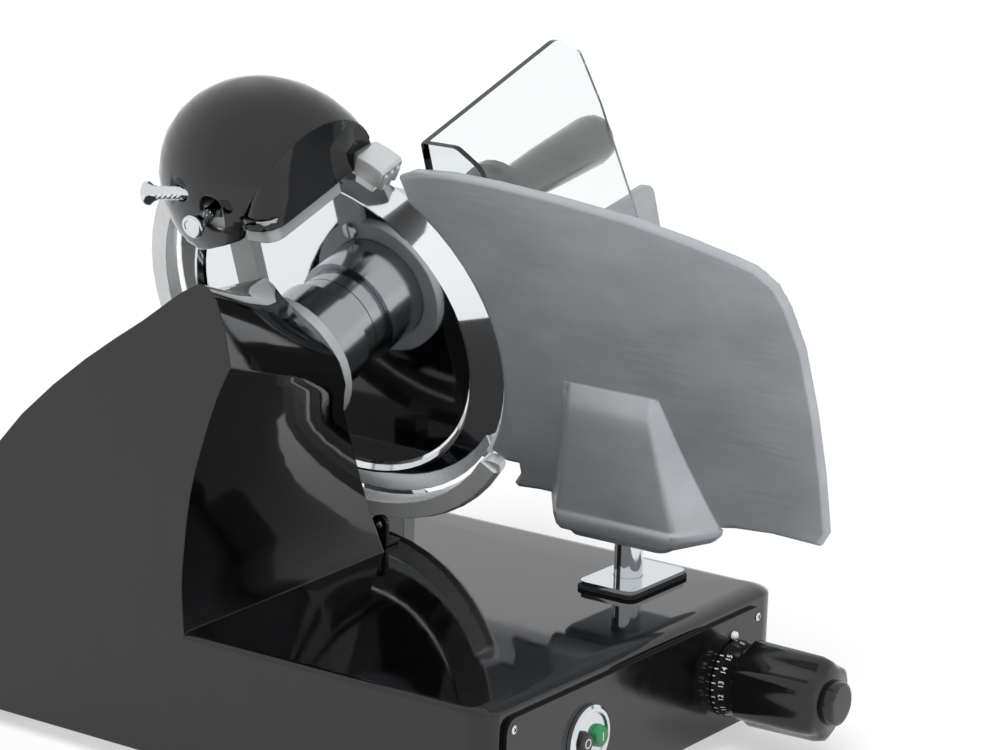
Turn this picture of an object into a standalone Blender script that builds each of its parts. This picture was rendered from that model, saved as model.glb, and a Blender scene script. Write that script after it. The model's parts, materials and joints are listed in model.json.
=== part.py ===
# Gravity-feed meat slicer with a 250 mm blade.
# Sizes are millimetres and angles are degrees; the meshes are made in metres, +Z up.
# The blade, the gauge plate and the food tray share one frame that leans with the blade:
# its X runs along the spindle towards the food, its Y runs along the carriage travel and
# its Z runs up the blade. Everything else stands upright on the base.

import bmesh
import bpy
from math import acos, atan2, cos, hypot, pi, radians, sin, sqrt, tan
from mathutils import Matrix, Vector

for old_object in list(bpy.data.objects):
    bpy.data.objects.remove(old_object)

MM = 0.001

# Running and seating clearances
GAP = 0.3
FIT = 0.4

# Blade and its lean
BLADE_RADIUS = 125.0
BLADE_BORE = 12.0
BLADE_CREST_RADIUS = 106.7
BLADE_CREST_HEIGHT = 9.0
BLADE_WEB_BACK = 3.6
BLADE_WEB_FRONT = 1.2
BLADE_RIM_RELIEF = 0.8
BLADE_EDGE = 0.3
LEAN = 19.35

BLADE_SCREW_CIRCLE = 22.0
BLADE_SCREW_TURNS = (30.0, 150.0, 270.0)
SCREW_SHANK = 2.5
SCREW_HEAD = 5.5
SCREW_HEAD_HEIGHT = 2.0

# Where the blade centre stands
BLADE_X = -16.35
BLADE_Y = 94.15
BASE_TOP = 92.0

# Base
BASE_LEFT = -216.0
BASE_RIGHT = 104.0
BASE_FRONT = -275.0
BASE_BACK = 150.0
BASE_BOTTOM = 12.0
BASE_CORNERS = (14.0, 26.0, 30.0, 20.0)
EDGE_RIGHT = 22.0
EDGE_LEFT = 4.0
EDGE_ENDS = 12.0
EDGE_FRONT_SHARE = 0.45
WALL = 4.0
PANEL_THICKNESS = 2.6
PANEL_LEFT = -200.0
PANEL_RIGHT = 74.0
PANEL_BOTTOM = 17.0
PANEL_TOP = 84.0
GLAND_X = -150.0
GLAND_Z = 40.0
GLAND_THREAD = 7.5
PLATE_THICKNESS = 2.5
FOOT_RADIUS = 17.0
FOOT_INSET = 42.0

# Tower
TOWER_FACE = -58.0

# Spindle, hub and drive
HUB_RADIUS = 35.0
HUB_FRONT = -16.6
HUB_FLANGE = 36.3
HUB_BORE = 14.0
SPINDLE_RADIUS = 10.0
SPINDLE_FLANGE_RADIUS = 31.3
BEARING_RADIUS = 21.0
BEARING_WIDTH = 13.0
PULLEY_RADIUS = 34.0
PULLEY_WIDTH = 13.0
MOTOR_PULLEY_RADIUS = 11.0
MOTOR_Y = 25.0
MOTOR_Z = -85.0
MOTOR_RADIUS = 45.0
MOTOR_RIGHT = TOWER_FACE - WALL - GAP
MOTOR_LENGTH = 78.0
MOTOR_SHAFT = 6.0
PULLEY_SPACE = 3.5
HUB_PULLEY_GAP = 5.8
HUB_BACK = MOTOR_RIGHT - MOTOR_LENGTH - PULLEY_SPACE + HUB_PULLEY_GAP
BELT_THICKNESS = 3.0

# Ring guard
RING_CLEARANCE = 2.5
RING_DEPTH = 14.0
RING_INNER = BLADE_RADIUS + RING_CLEARANCE
RING_OUTER = RING_INNER + RING_DEPTH
RING_LIFT = 6.493
BLADE_RISE = RING_OUTER * cos(radians(LEAN)) + RING_LIFT
RING_FRONT = -1.0
RING_BACK = -12.0
RING_START = -143.0
RING_END = 120.0
RING_SEAT = 6.0
RING_LEG_X = RING_OUTER * sin(radians(LEAN)) - 19.9
RING_LEG_Y = 36.0

# Gauge plate and its drive
GAUGE_BACK = -7.0
RIDGE_TOP = -0.5
GAUGE_TOP = 124.0
GAUGE_BOTTOM = -93.0
GAUGE_RIGHT = -350.0
GAUGE_CLEARANCE = 3.0
GAUGE_ARC = BLADE_RADIUS + GAUGE_CLEARANCE
GAUGE_ARC_TOP = 123.5
RIDGE_PITCH = 7.0
RIDGE_HEIGHT = 1.3
RIDGE_WIDTH = 3.0
POST_X = 34.6
POST_Y = -200.8
POST_RADIUS = 9.0
POST_SEAT = 5.0
GAUGE_WORLD_TRAVEL = 15.9
SLOT_HALF = 11.0
SKIRT_LEFT = 12.0
SKIRT_RIGHT = 75.0
SKIRT_HALF = 40.0
SKIRT_BOTTOM = 122.0
SKIRT_TOP = 134.0
SLIDE_ROD_LEFT = -36.0
SLIDE_ROD_RIGHT = 66.0
SLIDE_ROD_Z = 60.0
SLIDE_ROD_RADIUS = 5.0
SLIDE_BLOCK_HALF = 18.0
FOLLOWER_RADIUS = 3.0
COVER_X = 36.9
COVER_Y = -202.9
COVER_LENGTH = 64.0
COVER_WIDTH = 40.0
COVER_THICKNESS = 2.6
GASKET_THICKNESS = 2.0

# Dial and switch
DIAL_X = 39.0
DIAL_Z = 46.0
DIAL_TURN = 320.0
SKIRT_RADIUS = 24.0
KNOB_RADIUS = 27.5
KNOB_LENGTH = 77.0
LOBES = 6
LOBE_DEPTH = 3.5
CAP_RADIUS = 14.0
CAP_LENGTH = 8.0
CAP_STEM = 5.0
PIN_RADIUS = 1.6
PIN_Z = 73.0
DIAL_SHAFT_RADIUS = 6.0
CAM_Y = -232.0
CAM_THICKNESS = 6.0
CAM_START = 10.0
SWITCH_X = -120.0
SWITCH_Z = 52.0
SWITCH_RADIUS = 20.0
SWITCH_BARREL = 15.5
BUTTON_RADIUS = 6.5
BUTTON_SPACING = 15.5

# Carriage
CARRIAGE_BACKWARD = 150.0
CARRIAGE_FORWARD = 110.0
RAIL_X = 83.0
RAIL_Z = 34.0
RAIL_RADIUS = 7.0
RAIL_BRACKET = 12.0
RUNNER_HALF = 28.0
ARM_X = 110.0
ARM_THICKNESS = 12.0
ARM_SLOT = 16.0
KNOB_Y = 42.0
KNOB_HEIGHT = 70.0
KNOB_STEM = 5.0
ARM_Y = -50.0
ARM_WIDTH = 40.0
ARM_TOP_NEAR = 26.0
ARM_TOP_FAR = 60.0
TRAY_NEAR = 10.0
TRAY_FAR = 232.0
TRAY_FRONT = -90.0
TRAY_BACK = 62.0
TRAY_FLOOR = -90.0
TRAY_WALL = 5.0
TRAY_RIB = 1.2
TRAY_RIB_PITCH = 15.0
TRAY_LIP = 20.0
GUARD_THICKNESS = 4.0
GUARD_NEAR = 4.5
GUARD_SCREWS = (60.0, 165.0)
GUARD_SCREW_Z = -40.0
GUARD_TOP = 136.5

# Pusher
ROD_Y = 50.0
ROD_Z = -69.5
ROD_RADIUS = 5.0
PUSHER_S = 84.0
SLIDER_LENGTH = 40.0
SPOOL_RADIUS = 9.0
SPOOL_FLANGE = 4.0
PLATE_DEPTH = 8.0
PUSHER_TOP = 45.0
PUSHER_NEAR_Y = -78.0
PUSHER_FAR_Y = 32.0
TOOTH_PITCH = 10.0
TOOTH_DEPTH = 3.5
ARM_DEPTH = 7.0
HANDLE_Y = -58.0
HANDLE_Z = 42.0
HANDLE_START = 13.0
HANDLE_END = 17.0
HANDLE_LENGTH = 112.0
HANDLE_DROOP = 8.0

# Sharpener
COVER_CENTRE = (-40.0, -7.0, 120.0)
COVER_SEMI = (55.0, 76.0, 67.0)
COVER_WALL = 3.0
COVER_END = 3.0
COVER_BOTTOM = 84.0
COVER_LIP_BOTTOM = 104.0
FACET_NORMAL = (0.229, 0.892, 0.39)
FACET_DISTANCE = 3.4
SHARPENER_PLATE_BOTTOM = 115.0
SHARPENER_PLATE_TOP = 129.0
PLATE_LEFT = -97.0
PLATE_RIGHT = -14.0
PLATE_FRONT = -51.0
PLATE_STEP = -31.0
PLATE_BACK = 56.0
STRIP_NEAR = 4.0
STRIP_FAR = 22.0
BRACKET_RING = 46.0
BRACKET_THICKNESS = 8.0
BRACKET_SCREW_Y = 12.0
BRACKET_SCREW_Z = 40.0
TAB_X = -4.0
TAB_Y = -38.0
TAB_HEIGHT = 20.0
TAB_HALF = 6.0

# Sharpener buttons and stones
GRIND_Y = -4.0
GRIND_Z = 128.0
GRIND_SHAFT = 4.5
GRIND_CAP = -114.0
STONE_FACE = -15.5
STONE_THICKNESS = 8.0
STONE_RADIUS = 14.0
STONE_PIN = 2.5
STONE_TURN = 92.0
STONE_WINDOW = 8.5
STONE_RING_BACK = -4.5
DEBUR_LINE = (-0.30, 0.954, 0.0)
DEBUR_S = -90.0
DEBUR_ROD_Y = 29.0
DEBUR_Z = 133.8
DEBUR_SHAFT = 4.3
DEBUR_ARM_Y = 14.0
DEBUR_ARM_LEFT = -86.0
DEBUR_Y = 27.0
DEBUR_STONE_Z = 121.0
DEBUR_RADIUS = 9.0

BLADE_CENTRE = Vector((BLADE_X, BLADE_Y, BASE_TOP + BLADE_RISE))

LEANING = Matrix.Translation(BLADE_CENTRE * MM) @ Matrix.Rotation(radians(-LEAN), 4, "Y")
UPRIGHT = Matrix.Translation(Vector((BLADE_X, BLADE_Y, 0.0)) * MM)


def linear(code):
    """Linear colour of an sRGB hex code."""
    channels = [int(code[start:start + 2], 16) / 255 for start in (1, 3, 5)]
    return [c / 12.92 if c <= 0.04045 else ((c + 0.055) / 1.055) ** 2.4 for c in channels]


def finish(name, code, roughness, metallic, alpha=1.0):
    surface = bpy.data.materials.new(name)
    surface.use_nodes = True
    shader = surface.node_tree.nodes["Principled BSDF"]
    shader.inputs["Base Color"].default_value = (*linear(code), 1.0)
    shader.inputs["Roughness"].default_value = roughness
    shader.inputs["Metallic"].default_value = metallic
    shader.inputs["Alpha"].default_value = alpha
    return surface


BLACK_ENAMEL = finish("black_enamel", "#0c0c0e", 0.12, 0.0)
BLACK_PLASTIC = finish("black_plastic", "#141416", 0.35, 0.0)
RUBBER = finish("rubber", "#1b1b1b", 0.8, 0.0)
MIRROR_STEEL = finish("mirror_steel", "#c9cdd0", 0.08, 1.0)
STEEL = finish("turned_steel", "#a7abae", 0.3, 1.0)
CHROME = finish("chrome", "#d6d9dc", 0.06, 1.0)
BRUSHED_ALUMINIUM = finish("brushed_aluminium", "#b9bcbf", 0.32, 1.0)
CAST_ALUMINIUM = finish("cast_aluminium", "#c8cacc", 0.45, 1.0)
CLEAR_ACRYLIC = finish("clear_acrylic", "#dfe6e8", 0.05, 0.0, 0.3)
WHITE_PLASTIC = finish("white_plastic", "#ececea", 0.4, 0.0)
GREEN_PLASTIC = finish("green_plastic", "#1f8a4c", 0.3, 0.0)
BLACK_BUTTON = finish("black_button", "#202022", 0.3, 0.0)
STONE = finish("abrasive_stone", "#8b6b57", 0.9, 0.0)
MOTOR_PAINT = finish("motor_paint", "#3c4043", 0.5, 0.3)


def put(axis, a, b, along):
    """Point at a, b in the plane across the axis and at a distance along it."""
    return {"X": (along, a, b), "Y": (a, along, b), "Z": (a, b, along)}[axis]


def skin(loops, ring=False):
    """Solid through equal loops of points, with its ends capped or, as a ring, joined up."""
    shape = bmesh.new()
    rows = [[shape.verts.new(point) for point in loop] for loop in loops]
    pairs = list(zip(rows, rows[1:]))
    if ring:
        pairs.append((rows[-1], rows[0]))
    else:
        shape.faces.new(rows[0])
        shape.faces.new(rows[-1])
    for one, other in pairs:
        for index in range(len(one)):
            after = (index + 1) % len(one)
            shape.faces.new((one[index], one[after], other[after], other[index]))
    bmesh.ops.recalc_face_normals(shape, faces=shape.faces)
    return shape


def prism(outline, low, high, axis):
    return skin([[put(axis, a, b, along) for a, b in outline] for along in (low, high)])


def block(low, high):
    corners = [(low[0], low[1]), (high[0], low[1]), (high[0], high[1]), (low[0], high[1])]
    return prism(corners, low[2], high[2], "Z")


def circle(radius, count, centre=(0.0, 0.0)):
    turns = [2 * pi * index / count for index in range(count)]
    return [(centre[0] + radius * cos(turn), centre[1] + radius * sin(turn)) for turn in turns]


def turned(profile, axis, centre=(0.0, 0.0), count=32, ring=False):
    """Revolved solid; the profile holds (distance along the axis, radius)."""
    loops = []
    for along, radius in profile:
        loops.append([put(axis, a, b, along) for a, b in circle(radius, count, centre)])
    return skin(loops, ring)


def tube(inner, outer, low, high, axis, centre=(0.0, 0.0), count=32):
    profile = [(low, inner), (low, outer), (high, outer), (high, inner)]
    return turned(profile, axis, centre, count, ring=True)


def rod(radius, low, high, axis, centre=(0.0, 0.0), count=32):
    return turned([(low, radius), (high, radius)], axis, centre, count)


def filleted(corners, radii, steps=4):
    """Outline with each corner rounded to its radius; 0 keeps the corner sharp."""
    outline = []
    for index, (corner, radius) in enumerate(zip(corners, radii)):
        here = Vector(corner)
        back = Vector(corners[index - 1]) - here
        ahead = Vector(corners[(index + 1) % len(corners)]) - here
        if radius == 0:
            outline.append(tuple(here))
            continue
        half = back.angle(ahead) / 2
        reach = min(radius / tan(half), 0.49 * back.length, 0.49 * ahead.length)
        hub = here + (back.normalized() + ahead.normalized()).normalized() * reach / cos(half)
        start = here + back.normalized() * reach - hub
        end = here + ahead.normalized() * reach - hub
        first = atan2(start.y, start.x)
        sweep = (atan2(end.y, end.x) - first + pi) % (2 * pi) - pi
        for step in range(steps + 1):
            turn = first + sweep * step / steps
            outline.append((hub.x + start.length * cos(turn), hub.y + start.length * sin(turn)))
    return outline


def rounded_box(low, high, radius, steps=4):
    """Outline of a rectangle with round corners."""
    corners = [(low[0], low[1]), (high[0], low[1]), (high[0], high[1]), (low[0], high[1])]
    return filleted(corners, [radius] * 4, steps)


def area(outline):
    total = 0.0
    for index, (a, b) in enumerate(outline):
        total += outline[index - 1][0] * b - a * outline[index - 1][1]
    return total / 2


def inset(outline, distance):
    """Outline moved inwards by a distance, or outwards by a negative one."""
    side = 1.0 if area(outline) > 0 else -1.0
    moved = []
    for index, point in enumerate(outline):
        here = Vector(point)
        back = (here - Vector(outline[index - 1])).normalized()
        ahead = (Vector(outline[(index + 1) % len(outline)]) - here).normalized()
        normal = Vector((-(back.y + ahead.y), back.x + ahead.x)).normalized() * side
        spread = max(0.5, normal.dot(Vector((-back.y, back.x)) * side))
        moved.append(tuple(here + normal * distance / spread))
    return moved


def curve(points, steps=3):
    """Smooth run through the points of an open line."""
    line = []
    for index in range(len(points) - 1):
        before = Vector(points[max(index - 1, 0)])
        one = Vector(points[index])
        two = Vector(points[index + 1])
        after = Vector(points[min(index + 2, len(points) - 1)])
        for step in range(steps):
            t = step / steps
            line.append(tuple(0.5 * (2 * one + (two - before) * t
                                     + (2 * before - 5 * one + 4 * two - after) * t * t
                                     + (3 * one - before - 3 * two + after) * t ** 3)))
    line.append(tuple(points[-1]))
    return line


def solid(name, shape, frame, surface, origin=(0.0, 0.0, 0.0), sharp=35.0):
    """Object from a shape in the frame's millimetres, with its own origin."""
    bmesh.ops.translate(shape, verts=shape.verts, vec=-Vector(origin))
    bmesh.ops.scale(shape, verts=shape.verts, vec=(MM, MM, MM))
    mesh = bpy.data.meshes.new(name)
    shape.to_mesh(mesh)
    shape.free()
    mesh.shade_smooth()
    mesh.set_sharp_from_angle(angle=radians(sharp))
    mesh.materials.append(surface)
    item = bpy.data.objects.new(name, mesh)
    item.matrix_world = frame @ Matrix.Translation(Vector(origin) * MM)
    bpy.context.scene.collection.objects.link(item)
    return item


def guide(shape, frame, surface=BLACK_PLASTIC):
    """Hidden helper that a Boolean adds or takes away."""
    item = solid("guide", shape, frame, surface)
    item.hide_render = True
    item.display_type = "WIRE"
    return item


def combine(item, operation, shapes, frame):
    for shape in shapes:
        helper = shape if isinstance(shape, bpy.types.Object) else guide(shape, frame)
        step = item.modifiers.new(operation.lower(), "BOOLEAN")
        step.operation = operation
        step.solver = "EXACT"
        step.object = helper
    return item


def join(item, frame, *shapes):
    return combine(item, "UNION", shapes, frame)


def cut(item, frame, *shapes):
    return combine(item, "DIFFERENCE", shapes, frame)


HOUSING_FRONT = BASE_FRONT + PANEL_THICKNESS + GAP


def base_plan(offset):
    """Outline of the base seen from above, moved inwards by the offset."""
    corners = [(BASE_LEFT, HOUSING_FRONT), (BASE_RIGHT, HOUSING_FRONT),
               (BASE_RIGHT, BASE_BACK), (BASE_LEFT, BASE_BACK)]
    return inset(filleted(corners, BASE_CORNERS, 5), offset)


def base_loops(offset, low, high):
    """Plan outlines of the base: straight walls, then a soft edge up to the flat top."""
    plan = base_plan(offset)
    normals = [(Vector(a) - Vector(b)) for a, b in zip(plan, inset(plan, 1.0))]
    loops = [[(x, y, low) for x, y in plan]]
    for step in range(6):
        turn = pi / 2 * step / 5
        loop = []
        for (x, y), normal in zip(plan, normals):
            side = normal.normalized()
            right, left = max(0.0, side.x) ** 2, max(0.0, -side.x) ** 2
            draw = EDGE_RIGHT * right + EDGE_LEFT * left + EDGE_ENDS * side.y ** 2
            draw = max(draw - offset, 0.5)
            sink = draw if side.y > -0.7 else draw * EDGE_FRONT_SHARE
            pull = draw * (1 - cos(turn))
            loop.append((x - side.x * pull, y - side.y * pull, high - sink * (1 - sin(turn))))
        loops.append(loop)
    return loops


TOWER_LEFT_LINE = [(-56, -160), (-56, -140), (-54, -112), (-56, -85), (-60, -55), (-68, -26),
                   (-79, 5), (-89, 25), (-85, 43), (-78, 62), (-69, 70), (-59.5, 67), (-46, 58.5),
                   (-23, 41.5), (20, 12), (70, -30), (106, -75), (120, -118), (126, -140),
                   (126, -160)]
TOWER_RIGHT_LINE = [(-49, -152), (-49, -129), (-46, -110), (-43.5, -88), (-42, -64), (-41, -39),
                    (-41, -23), (-47, -5), (-46, 11), (-38, 26), (-24, 40), (-11, 52), (-1, 63),
                    (17, 50), (38, 30), (59, 3), (84, -45), (103, -96), (115, -129), (118, -152)]
TOWER_CREASE = 7


def tower_line(points):
    """Profile of the tower with a sharp crease at the ledge and soft curves elsewhere."""
    lower = curve(points[1:TOWER_CREASE + 1], 2)
    upper = curve(points[TOWER_CREASE:-1], 2)
    return [points[0]] + lower + upper[1:] + [points[-1]]


def tower(offset):
    """Loft from the profile on the left face to the one that leans with the blade."""
    lean = Matrix.Rotation(radians(-LEAN), 4, "Y")
    left = tower_line(TOWER_LEFT_LINE)
    right = tower_line(TOWER_RIGHT_LINE)
    if offset:
        left = inset(left, offset)
        right = inset(right, offset)
    start = [Vector((BASE_LEFT + offset, y, z)) for y, z in left]
    end = [lean @ Vector((TOWER_FACE - offset, y, z)) for y, z in right]
    lift = Vector((0.0, 0.0, BASE_TOP + BLADE_RISE))
    loops = []
    for step in range(4):
        share = step / 3
        loops.append([a.lerp(b, share) + lift for a, b in zip(start, end)])
    return skin(loops)


def base_housing():
    item = solid("base_housing", skin(base_loops(0.0, BASE_BOTTOM, BASE_TOP)), UPRIGHT,
                 BLACK_ENAMEL)
    join(item, UPRIGHT, tower(0.0))
    hollow = guide(skin(base_loops(WALL, BASE_BOTTOM - 5.0, BASE_TOP - WALL)), UPRIGHT)
    join(hollow, UPRIGHT, tower(WALL))
    cut(item, UPRIGHT, hollow)
    boss = block((SLIDE_ROD_LEFT - 4.0, POST_Y - 12.0, SLIDE_ROD_Z - 10.0),
                 (SLIDE_ROD_LEFT + 10.0, POST_Y + 12.0, BASE_TOP - WALL + 1.0))
    far_boss = block((SLIDE_ROD_RIGHT - 8.0, POST_Y - 12.0, SLIDE_ROD_Z - 10.0),
                     (SLIDE_ROD_RIGHT + 2.0, POST_Y + 12.0, BASE_TOP - WALL + 1.0))
    join(item, UPRIGHT, boss, far_boss)
    slot = rounded_box((POST_X - GAUGE_WORLD_TRAVEL - SLOT_HALF, POST_Y - SLOT_HALF),
                       (POST_X + SLOT_HALF, POST_Y + SLOT_HALF), SLOT_HALF - 0.5, 5)
    reach = ARM_WIDTH / 2 + 3.0
    arm_slot = rounded_box((ARM_Y - CARRIAGE_BACKWARD - reach, RAIL_Z - ARM_SLOT / 2),
                           (ARM_Y + CARRIAGE_FORWARD + reach, RAIL_Z + ARM_SLOT / 2),
                           ARM_SLOT / 2 - 0.5, 4)
    cut(item, UPRIGHT,
        prism(slot, BASE_TOP - WALL - 4.0, BASE_TOP + 5.0, "Z"),
        prism(arm_slot, BASE_RIGHT - 12.0, BASE_RIGHT + 5.0, "X"),
        rod(SLIDE_ROD_RADIUS + GAP, SLIDE_ROD_LEFT, SLIDE_ROD_RIGHT, "X", (POST_Y, SLIDE_ROD_Z), 20),
        rod(DIAL_SHAFT_RADIUS + FIT, HOUSING_FRONT - 5.0, HOUSING_FRONT + 12.0, "Y",
            (DIAL_X, DIAL_Z), 20),
        rod(SWITCH_BARREL + GAP, HOUSING_FRONT - 5.0, HOUSING_FRONT + 12.0, "Y",
            (SWITCH_X, SWITCH_Z), 24),
        rod(GLAND_THREAD + GAP, BASE_BACK - 10.0, BASE_BACK + 5.0, "Y", (GLAND_X, GLAND_Z), 20))
    return cut(item, LEANING,
               rod(HUB_RADIUS + GAP, TOWER_FACE - WALL - 8.0, TOWER_FACE + 8.0, "X", count=36),
               rod(SCREW_SHANK + GAP, TOWER_FACE - WALL - 4.0, TOWER_FACE + 5.0, "X",
                   (BRACKET_SCREW_Y, BRACKET_SCREW_Z), 14))


def base_plate():
    plan = base_plan(WALL + GAP)
    return solid("base_plate", prism(plan, BASE_BOTTOM, BASE_BOTTOM + PLATE_THICKNESS, "Z"),
                 UPRIGHT, CAST_ALUMINIUM)


def feet():
    near_y, far_y = BASE_FRONT + FOOT_INSET, BASE_BACK - FOOT_INSET
    left_x, right_x = BASE_LEFT + FOOT_INSET, BASE_RIGHT - FOOT_INSET
    places = {"front_left": (left_x, near_y), "front_right": (right_x, near_y),
              "rear_left": (left_x, far_y), "rear_right": (right_x, far_y)}
    for name, (x, y) in places.items():
        top = BASE_BOTTOM - GAP
        profile = [(0.0, FOOT_RADIUS - 4.0), (1.5, FOOT_RADIUS - 2.0), (top - 2.0, FOOT_RADIUS),
                   (top, FOOT_RADIUS - 1.5)]
        solid("foot_" + name, turned(profile, "Z", (x, y), 16), UPRIGHT, RUBBER)


def control_panel():
    plan = rounded_box((PANEL_LEFT, PANEL_BOTTOM), (PANEL_RIGHT, PANEL_TOP), 8.0, 3)
    item = solid("control_panel", prism(plan, BASE_FRONT, BASE_FRONT + PANEL_THICKNESS, "Y"),
                 UPRIGHT, BLACK_PLASTIC)
    through = (BASE_FRONT - 5.0, BASE_FRONT + PANEL_THICKNESS + 5.0)
    return cut(item, UPRIGHT,
               rod(DIAL_SHAFT_RADIUS + FIT, *through, "Y", (DIAL_X, DIAL_Z), 20),
               rod(SWITCH_BARREL + GAP, *through, "Y", (SWITCH_X, SWITCH_Z), 24),
               rod(PIN_RADIUS + GAP, *through, "Y", (DIAL_X, PIN_Z), 12))


def switch():
    face = BASE_FRONT - GAP
    profile = [(face + 14.0, SWITCH_BARREL), (face, SWITCH_BARREL), (face, SWITCH_RADIUS),
               (face - 2.5, SWITCH_RADIUS), (face - 4.0, SWITCH_RADIUS - 1.5),
               (face - 4.0, SWITCH_RADIUS - 3.5), (face - 2.5, SWITCH_RADIUS - 4.5)]
    item = solid("switch_bezel", turned(profile, "Y", (SWITCH_X, SWITCH_Z), 28), UPRIGHT, CHROME)
    for name, side, surface in (("on_button", 1, GREEN_PLASTIC), ("off_button", -1, BLACK_BUTTON)):
        x = SWITCH_X + side * BUTTON_SPACING / 2
        cut(item, UPRIGHT, rod(BUTTON_RADIUS + GAP, face - 8.0, face + 20.0, "Y", (x, SWITCH_Z), 16))
        shape = turned([(face - 6.5, BUTTON_RADIUS - 1.5), (face - 6.0, BUTTON_RADIUS - 0.5),
                        (face - 5.0, BUTTON_RADIUS), (face + 12.0, BUTTON_RADIUS)],
                       "Y", (x, SWITCH_Z), 16)
        solid(name, shape, UPRIGHT, surface, (x, face - 6.5, SWITCH_Z))


def index_pin():
    face = BASE_FRONT
    profile = [(face + 2.0, PIN_RADIUS), (face - GAP, PIN_RADIUS), (face - GAP, PIN_RADIUS + 1.0),
               (face - 2.5, PIN_RADIUS + 0.8), (face - 3.5, PIN_RADIUS - 0.4)]
    solid("index_pin", turned(profile, "Y", (DIAL_X, PIN_Z), 16), UPRIGHT, WHITE_PLASTIC)


def dial():
    start = BASE_FRONT - 0.6
    front = start - KNOB_LENGTH + CAP_LENGTH
    rows = [(start, SKIRT_RADIUS, 0.0), (start - 3.0, SKIRT_RADIUS, 0.0),
            (start - 11.0, SKIRT_RADIUS - 2.0, 0.0), (start - 13.0, KNOB_RADIUS - 4.0, 0.3),
            (start - 16.0, KNOB_RADIUS, 1.0), (front + 8.0, KNOB_RADIUS - 0.8, 1.0),
            (front + 2.0, KNOB_RADIUS - 2.5, 0.9), (front, KNOB_RADIUS - 6.0, 0.5)]
    loops = []
    for along, radius, share in rows:
        loop = []
        for index in range(48):
            turn = 2 * pi * index / 48
            reach = radius - share * LOBE_DEPTH * (1 - cos(LOBES * turn)) / 2
            loop.append((DIAL_X + reach * sin(turn), along, DIAL_Z + reach * cos(turn)))
        loops.append(loop)
    item = solid("dial_knob", skin(loops), UPRIGHT, BLACK_PLASTIC, (DIAL_X, start, DIAL_Z))
    cut(item, UPRIGHT,
        rod(DIAL_SHAFT_RADIUS + GAP, start - 30.0, start + 5.0, "Y", (DIAL_X, DIAL_Z), 20),
        rod(CAP_STEM + GAP, front - 5.0, front + 8.0, "Y", (DIAL_X, DIAL_Z), 20))
    tip = front - CAP_LENGTH
    cap = [(front + 7.0, CAP_STEM), (front - GAP, CAP_STEM), (front - GAP, CAP_RADIUS),
           (tip + 3.0, CAP_RADIUS), (tip + 1.0, CAP_RADIUS - 0.8), (tip, CAP_RADIUS - 2.6)]
    solid("dial_cap", turned(cap, "Y", (DIAL_X, DIAL_Z), 24), UPRIGHT, BLACK_PLASTIC,
          (DIAL_X, start, DIAL_Z))
    cam_front = CAM_Y - CAM_THICKNESS / 2
    shaft = rod(DIAL_SHAFT_RADIUS, start - 29.0, CAM_Y + CAM_THICKNESS / 2 + 4.0, "Y",
                (DIAL_X, DIAL_Z), 20)
    item = solid("dial_spindle", shaft, UPRIGHT, STEEL, (DIAL_X, start, DIAL_Z))
    spiral = []
    for index in range(33):
        turn = radians(DIAL_TURN) * index / 32
        reach = CAM_START + GAUGE_WORLD_TRAVEL * index / 32
        spiral.append((DIAL_X - reach * cos(turn), DIAL_Z + reach * sin(turn)))
    for turn in (radians(DIAL_TURN + 8.0), radians(DIAL_TURN + 24.0)):
        spiral.append((DIAL_X - CAM_START * cos(turn), DIAL_Z + CAM_START * sin(turn)))
    join(item, UPRIGHT, prism(spiral, cam_front, cam_front + CAM_THICKNESS, "Y"))


def motor():
    left, right = MOTOR_RIGHT - MOTOR_LENGTH, MOTOR_RIGHT
    radius = MOTOR_RADIUS
    profile = [(left, radius - 16.0), (left + 3.0, radius - 6.0), (left + 12.0, radius - 2.0),
               (left + 13.0, radius), (right - 13.0, radius), (right - 12.0, radius - 2.0),
               (right - 4.0, radius - 2.0), (right, radius - 2.0)]
    item = solid("motor", turned(profile, "X", (MOTOR_Y, MOTOR_Z), 20), LEANING, MOTOR_PAINT)
    cut(item, LEANING, rod(MOTOR_SHAFT + FIT, left - 5.0, left + 22.0, "X", (MOTOR_Y, MOTOR_Z), 16))
    right = left - PULLEY_SPACE
    pulley = [(right + PULLEY_SPACE + 20.0, MOTOR_SHAFT), (right, MOTOR_SHAFT),
              (right, MOTOR_PULLEY_RADIUS), (right - PULLEY_WIDTH, MOTOR_PULLEY_RADIUS)]
    solid("motor_pulley", turned(pulley, "X", (MOTOR_Y, MOTOR_Z), 16), LEANING, STEEL,
          (right, MOTOR_Y, MOTOR_Z))


def belt_line(extra):
    """Outline of a belt round both pulleys, in the plane across the spindle."""
    big, small = PULLEY_RADIUS + extra, MOTOR_PULLEY_RADIUS + extra
    span = hypot(MOTOR_Y, MOTOR_Z)
    heading = atan2(MOTOR_Z, MOTOR_Y)
    open_half = acos((big - small) / span)
    line = []
    for step in range(21):
        turn = heading + open_half + (2 * pi - 2 * open_half) * step / 20
        line.append((big * cos(turn), big * sin(turn)))
    for step in range(9):
        turn = heading - open_half + 2 * open_half * step / 8
        line.append((MOTOR_Y + small * cos(turn), MOTOR_Z + small * sin(turn)))
    return line


def drive_belt():
    right = MOTOR_RIGHT - MOTOR_LENGTH - PULLEY_SPACE - 2.0
    left = right - PULLEY_WIDTH + 4.0
    inner, outer = belt_line(GAP), belt_line(GAP + BELT_THICKNESS)
    loops = [[put("X", a, b, along) for a, b in line]
             for line, along in ((inner, left), (outer, left), (outer, right), (inner, right))]
    solid("drive_belt", skin(loops, ring=True), LEANING, RUBBER)


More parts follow.
